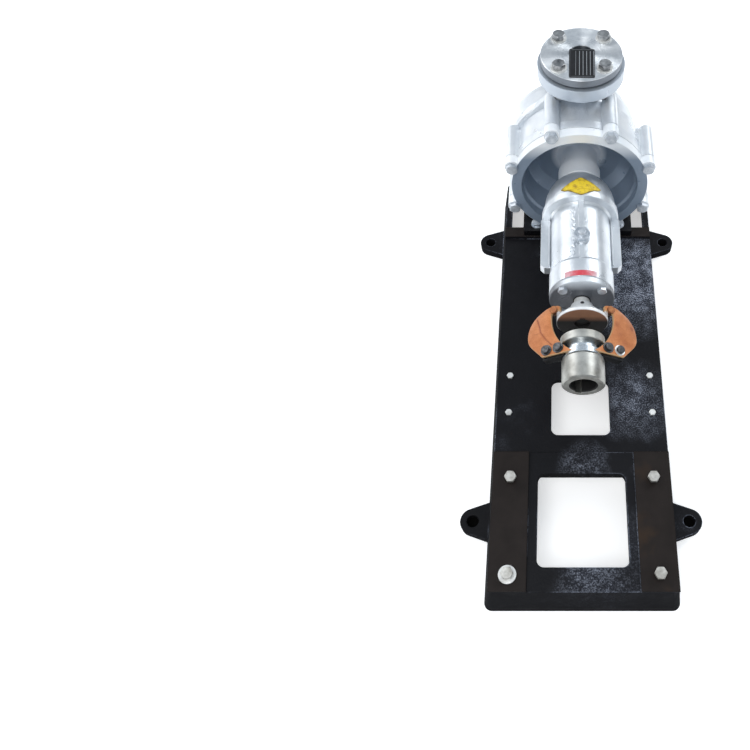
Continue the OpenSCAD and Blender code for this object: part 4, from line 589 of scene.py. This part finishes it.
# the plate is 40 by 66 mm and turned by a degree; its upper face lies 389 mm over the floor and
# rises a little at the short ends, with a border line and upright rules raised by 0.12 mm
across, down = square(181, 109)
plate_x, plate_y, turned_by = 20.0 * across, 33.0 * down, math.radians(-1.0)
plate_outer = np.stack([plate_x * math.cos(turned_by) - plate_y * math.sin(turned_by) + 0.5,
                        plate_x * math.sin(turned_by) + plate_y * math.cos(turned_by) + 326.0,
                        389.0 + 0.3 * down ** 8 + 0 * plate_x], -1)
plate_inner = plate_outer * (1, 1, 0) + (0, 0, 388.05)
from_border = np.maximum(np.abs(plate_x) - 18.6, np.abs(plate_y) - 31.6)
border = (from_border > -0.45) & (from_border < 0.05)
rules = (np.abs((plate_x + 18) % 5.6 - 2.8) < 0.3) & (np.abs(plate_y) < 28) & (plate_x > -10)
plate_outer[..., 2] += 0.12 * (border | rules)
shell("blank_etched_plate", plate_outer, plate_inner, etched_plate_finish(), "black_paint",
      rule=border * 0.35 + rules * 0.8)


def worn_paint_film(name, colour, worn, under):
    """A printed film, faded in patches and rubbed through to the paint below towards its ends."""
    made, tree, place = new_material(name)
    dirt_and_painted_shading = add(tree, "TexNoise", [place], Scale=150.0, Detail=5.0, Roughness=0.65)[0]
    rub = add(tree, "Attribute", attribute_name="rub")["Fac"]
    uneven = add(tree, "MapRange", [dirt_and_painted_shading, 0.3, 0.65, 0.35, 1.2])[0]
    through = add(tree, "Math", [rub, uneven], operation="MULTIPLY", use_clamp=True)[0]
    pale = add(tree, "MapRange", [dirt_and_painted_shading, 0.48, 0.68])[0]
    faded = add(tree, "Mix", {0: pale, 6: colour, 7: worn}, data_type="RGBA")[2]
    rubbed = add(tree, "Mix", {0: through, 6: faded, 7: under}, data_type="RGBA")[2]
    surface(tree, colour, {"Base Color": rubbed}, IOR=1.5, Metallic=0.0, Roughness=0.42)
    return made


def on_barrel(radius, along, turn):
    """Points round the shaft's axis at radius, along the shaft, and turned from the top to the right."""
    return np.stack([radius * np.sin(turn), along + 0 * turn, 212 + radius * np.cos(turn)], -1)


# the diamond is 69 mm wide round the dome, 25 mm long behind its widest row and 21 mm before it
across, down = square(61, 61)
round_way = 34.5 * (across - down) / 2
run = (across + down) / 2
back_way = 6.5 + np.where(run > 0, 25.0, 21.0) * run
rise = np.clip(back_way, 0, None) / 59
dome_radius = 32 + 27.5 * np.cos(rise) + 3.3 * (1 - np.clip((back_way + 2) / 5, 0, 1)) ** 1.5
dome_along = 177 + np.where(back_way > 0, 59 * np.sin(rise), back_way)
dome_turn = round_way / 60.0
rubbed = np.maximum(np.abs(across), np.abs(down)) ** 14
shell("yellow_diamond_film", on_barrel(dome_radius + 0.7, dome_along, dome_turn)[:, ::-1],
      on_barrel(dome_radius + 0.05, dome_along, dome_turn)[:, ::-1],
      worn_paint_film("yellow_printed_film", "#e8c92c", "#a8862a", "#5c3d14"), rub=rubbed[:, ::-1])

# the strip is 50 mm long round the barrel and 9.2 mm wide, a little left of the top
across, down = square(25, 121)
strip_turn, strip_along = 25.0 / 50.4 * across - 0.055, 23.4 + 4.6 * down
shell("red_strip_film", on_barrel(50.45, strip_along, strip_turn),
      on_barrel(50.02, strip_along, strip_turn),
      worn_paint_film("red_printed_film", "#d0414d", "#dd6f7c", "#d9c3ca"), rub=1.1 * np.abs(across) ** 2)

# Casting flash left of the top rib: iron that ran out at a joint of the mould, ground down by
# hand and painted over, so it is low, wavy and lumpy.
across, down = np.meshgrid(np.linspace(-1, 1, 21), np.linspace(0, 1, 161))
flash_radius, flash_along = 48, 55.5 + 98 * down
wobble = 1.3 * np.sin(down * 23) + 0.8 * np.sin(down * 51 + 1.0) + 0.5 * np.sin(down * 97 + 2.0)
hook = 7.0 * np.clip(1 - down / 0.06, 0, 1) ** 0.7
half_width = 2.7 + 0.9 * np.sin(down * 37 + 0.6) + 0.5 * np.sin(down * 71)
flash_turn = (-12.2 - hook + 0.5 * wobble + across * half_width) / flash_radius
lumps = 0.75 + 0.25 * np.sin(down * 63 + across * 3) * np.sin(down * 29 + 2)
flash_height = 2.3 * lumps * (1 - np.abs(across) ** 6) * (1 - np.abs(2 * down - 1) ** 24) - 0.3
shell("casting_flash", on_barrel(flash_radius + flash_height, flash_along, flash_turn),
      on_barrel(flash_radius - 0.6, flash_along, flash_turn), silver_paint_on_housing, "silver_paint")


# Neck of the motor half: turned with a collar behind its flange and run into the barrel with a
# small radius. It closes over the groove that the strap lugs grip.
def turned_round(name, profile, material, body, around=96):
    """Profile points, radius and place along the shaft in mm, carried round the shaft's axis."""
    radius, along = (np.array(column)[:, None] for column in zip(*profile))
    turn = np.linspace(0, 2 * np.pi, around, endpoint=False)[None, :]
    faces = quads(len(profile), around, closed=True)
    made = keep(name, on_barrel(radius, along, turn) / 1000, faces, material)
    made.data.set_sharp_from_angle(angle=math.radians(30))
    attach(made, body)


groove_radius, neck_radius, collar_radius, fillet_radius = 22.0, 25.0, 29.7, 2.0
front, fillet_at, back = -75.5, -85.0, -96.4
neck_profile = [(groove_radius, front), (24.4, front), (neck_radius, -76.1), (neck_radius, fillet_at)]
neck_profile += [(neck_radius + fillet_radius * (1 - math.cos(a)), fillet_at - fillet_radius * math.sin(a))
                 for a in np.radians(np.linspace(0, 90, 9))[1:]]
neck_profile += [(29.0, -87.2), (collar_radius, -88.0), (collar_radius, back), (groove_radius, back),
                 (groove_radius, front)]
turned_round("motor_half_neck", neck_profile,
             turned_steel("turned_neck_steel", "#cfd6dd", "#9aa2aa", 0.0014, roughness=(0.22, 0.36)),
             "motor_half")


# Foundation holes: the castings lie on the ground, and a black, rough dished disc of painted
# shade fills the bottom of each hole.
def hole_bottom(name, x, y, material, radius=9.4, rings=12, around=48):
    """A dished disc: rings of points from the hole's wall to its middle, each lower, with low waves."""
    away = np.linspace(1, 0.02, rings)[:, None]
    turn = np.linspace(0, 2 * np.pi, around, endpoint=False)[None, :]
    rough = 0.3 * np.sin(5 * turn + 9 * away) * np.sin(17 * away)
    top = np.stack([x + radius * away * np.cos(turn), y + radius * away * np.sin(turn),
                    1.6 + 1.6 * away ** 6 + rough + 0 * turn], -1)
    low = np.stack([x + radius * np.cos(turn), y + radius * np.sin(turn), 0.3 + 0 * turn], -1)
    faces = quads(rings + 1, around, closed=True)
    faces += [list(range(around))[::-1], [rings * around + k for k in range(around)]]
    made = keep(name, np.concatenate([low, top]) / 1000, faces, material)
    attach(made, "pump_frame")


hole_shade, hole_shade_tree = new_material("painted_shade_in_holes")[:2]
surface(hole_shade_tree, "#050505", {}, Roughness=0.9, Specular_IOR_Level=0.1)
for corner, (x, y) in enumerate([(-170, -277), (170, -277), (-170, 277), (170, 277)]):
    hole_bottom(f"hole_painted_shade_{corner + 1}", x, y, hole_shade)


# Inner parts: gaskets pressed from fibre sheet, rubber and carbon seals, the bronze rings and the
# iron impeller that run in the oil, and the bearings of ground steel and brass.
def plain_dull(name, colour, other, scale, roughness, metallic=0.0):
    """Two near tones mixed by a grain that repeats scale times in a metre, in slight relief."""
    made, tree, place = new_material(name)
    grain = add(tree, "TexNoise", [place], Scale=scale, Detail=3.0)[0]
    tone = add(tree, "Mix", {0: grain, 6: colour, 7: other}, data_type="RGBA")[2]
    bump = add(tree, "Bump", {"Height": grain}, Strength=0.3, Distance=0.0002)[0]
    surface(tree, colour, {"Base Color": tone, "Normal": bump}, Metallic=metallic, Roughness=roughness)
    return made


dress(plain_dull("fibre_gasket_sheet", "#26262a", "#3c3c42", 900.0, 0.8), "cover_gasket",
      "discharge_gasket", "cap_gasket")
dress(plain_dull("nitrile_rubber", "#1c1c1d", "#2a2a2c", 500.0, 0.6), "cap_oil_seal", "inner_oil_seal")
dress(plain_dull("carbon_graphite", "#2c2c2f", "#414146", 300.0, 0.5), "throttle_bush", "seal_seat",
      "seal_face_ring")
dress(plain_dull("cast_impeller_iron", "#6e7275", "#888c8f", 220.0, 0.6, 0.6), "impeller")
dress(plain_dull("turned_bronze", "#9c6c34", "#b58446", 160.0, 0.4, 0.95), "suction_wear_ring",
      "cover_wear_ring")
dress(plain_dull("cage_brass", "#b08d3c", "#c6a551", 160.0, 0.35, 0.95), "front_bearing_cage",
      "rear_bearing_cage")
dress(plain_dull("ground_bearing_steel", "#b9bcc0", "#cdd0d4", 90.0, 0.15, 1.0), "front_bearing_outer_ring",
      "front_bearing_inner_ring", "front_bearing_balls", "rear_bearing_outer_ring",
      "rear_bearing_inner_ring", "rear_bearing_balls")

# Floor: white studio paper 18 m square. It glows a little where it is looked at or mirrored, so
# that it stays white there, and lights the pump only with what it throws back.
paper, paper_tree = new_material("white_studio_floor")[:2]
white = add(paper_tree, "BsdfPrincipled", {"Base Color": "#f4f4f4"}, Roughness=0.9)[0]
glow = add(paper_tree, "Emission", Color=(1.0, 1.0, 1.0, 1.0), Strength=0.5)[0]
both = add(paper_tree, "AddShader", [white, glow])[0]
rays = add(paper_tree, "LightPath")
seen = add(paper_tree, "Math", [rays["Is Camera Ray"], rays["Is Glossy Ray"]], operation="MAXIMUM")[0]
add(paper_tree, "OutputMaterial", [add(paper_tree, "MixShader", [seen, white, both])[0]])
floor_mesh = bpy.data.meshes.new("floor")
floor_mesh.from_pydata([(-9, -9, 0), (9, -9, 0), (9, 9, 0), (-9, 9, 0)], [], [(0, 1, 2, 3)])
floor_mesh.materials.append(paper)
floor = bpy.data.objects.new("floor", floor_mesh)
bpy.context.scene.collection.objects.link(floor)

# Studio tent: seen as plain white, it lights the pump with a cool white that is brighter overhead
# than near the floor.
world = bpy.data.worlds.new("studio")
world.use_nodes = True
bpy.context.scene.world = world
sky = world.node_tree
sky.nodes.clear()
upward = add(sky, "SeparateXYZ", [add(sky, "TexCoord")["Generated"]])["Z"]
strength = add(sky, "MapRange", [upward, 0.0, 0.85, 0.22, 0.8])[0]
soft = add(sky, "Background", {"Strength": strength}, Color=(0.84, 0.92, 1.0, 1.0))[0]
plain = add(sky, "Background", Color=(1.0, 1.0, 1.0, 1.0), Strength=1.0)[0]
rays = add(sky, "LightPath")
watched = add(sky, "Math", [rays["Is Camera Ray"], rays["Is Transmission Ray"]], operation="MAXIMUM")[0]
add(sky, "OutputWorld", [add(sky, "MixShader", [watched, soft, plain])[0]])


# Lamps: three soft boxes in watts, from high behind on the left, from high behind on the right,
# and from overhead at the coupling end.
def lamp(name, place, target, size, power, colour):
    """A square area lamp at a place, turned to face its target."""
    data = bpy.data.lights.new(name, "AREA")
    data.shape = "SQUARE"
    data.size = size
    data.energy = power
    data.color = colour
    made = bpy.data.objects.new(name, data)
    aim = np.array(target, float) - np.array(place, float)
    made.location = place
    made.rotation_euler = (math.acos(-aim[2] / np.linalg.norm(aim)), 0.0, math.atan2(-aim[0], aim[1]))
    bpy.context.scene.collection.objects.link(made)


lamp("left_soft_box", (-1.75, 1.15, 1.25), (0.0, 0.15, 0.2), 1.5, 16.0, (1.0, 1.0, 1.0))
lamp("right_soft_box", (1.35, 1.25, 1.65), (0.0, 0.15, 0.2), 1.05, 13.5, (0.97, 0.99, 1.0))
lamp("front_soft_box", (-0.5, -1.0, 2.2), (0.0, 0.0, 0.1), 1.0, 17.0, (1.0, 0.99, 0.97))

bpy.context.scene.view_settings.view_transform = "Standard"
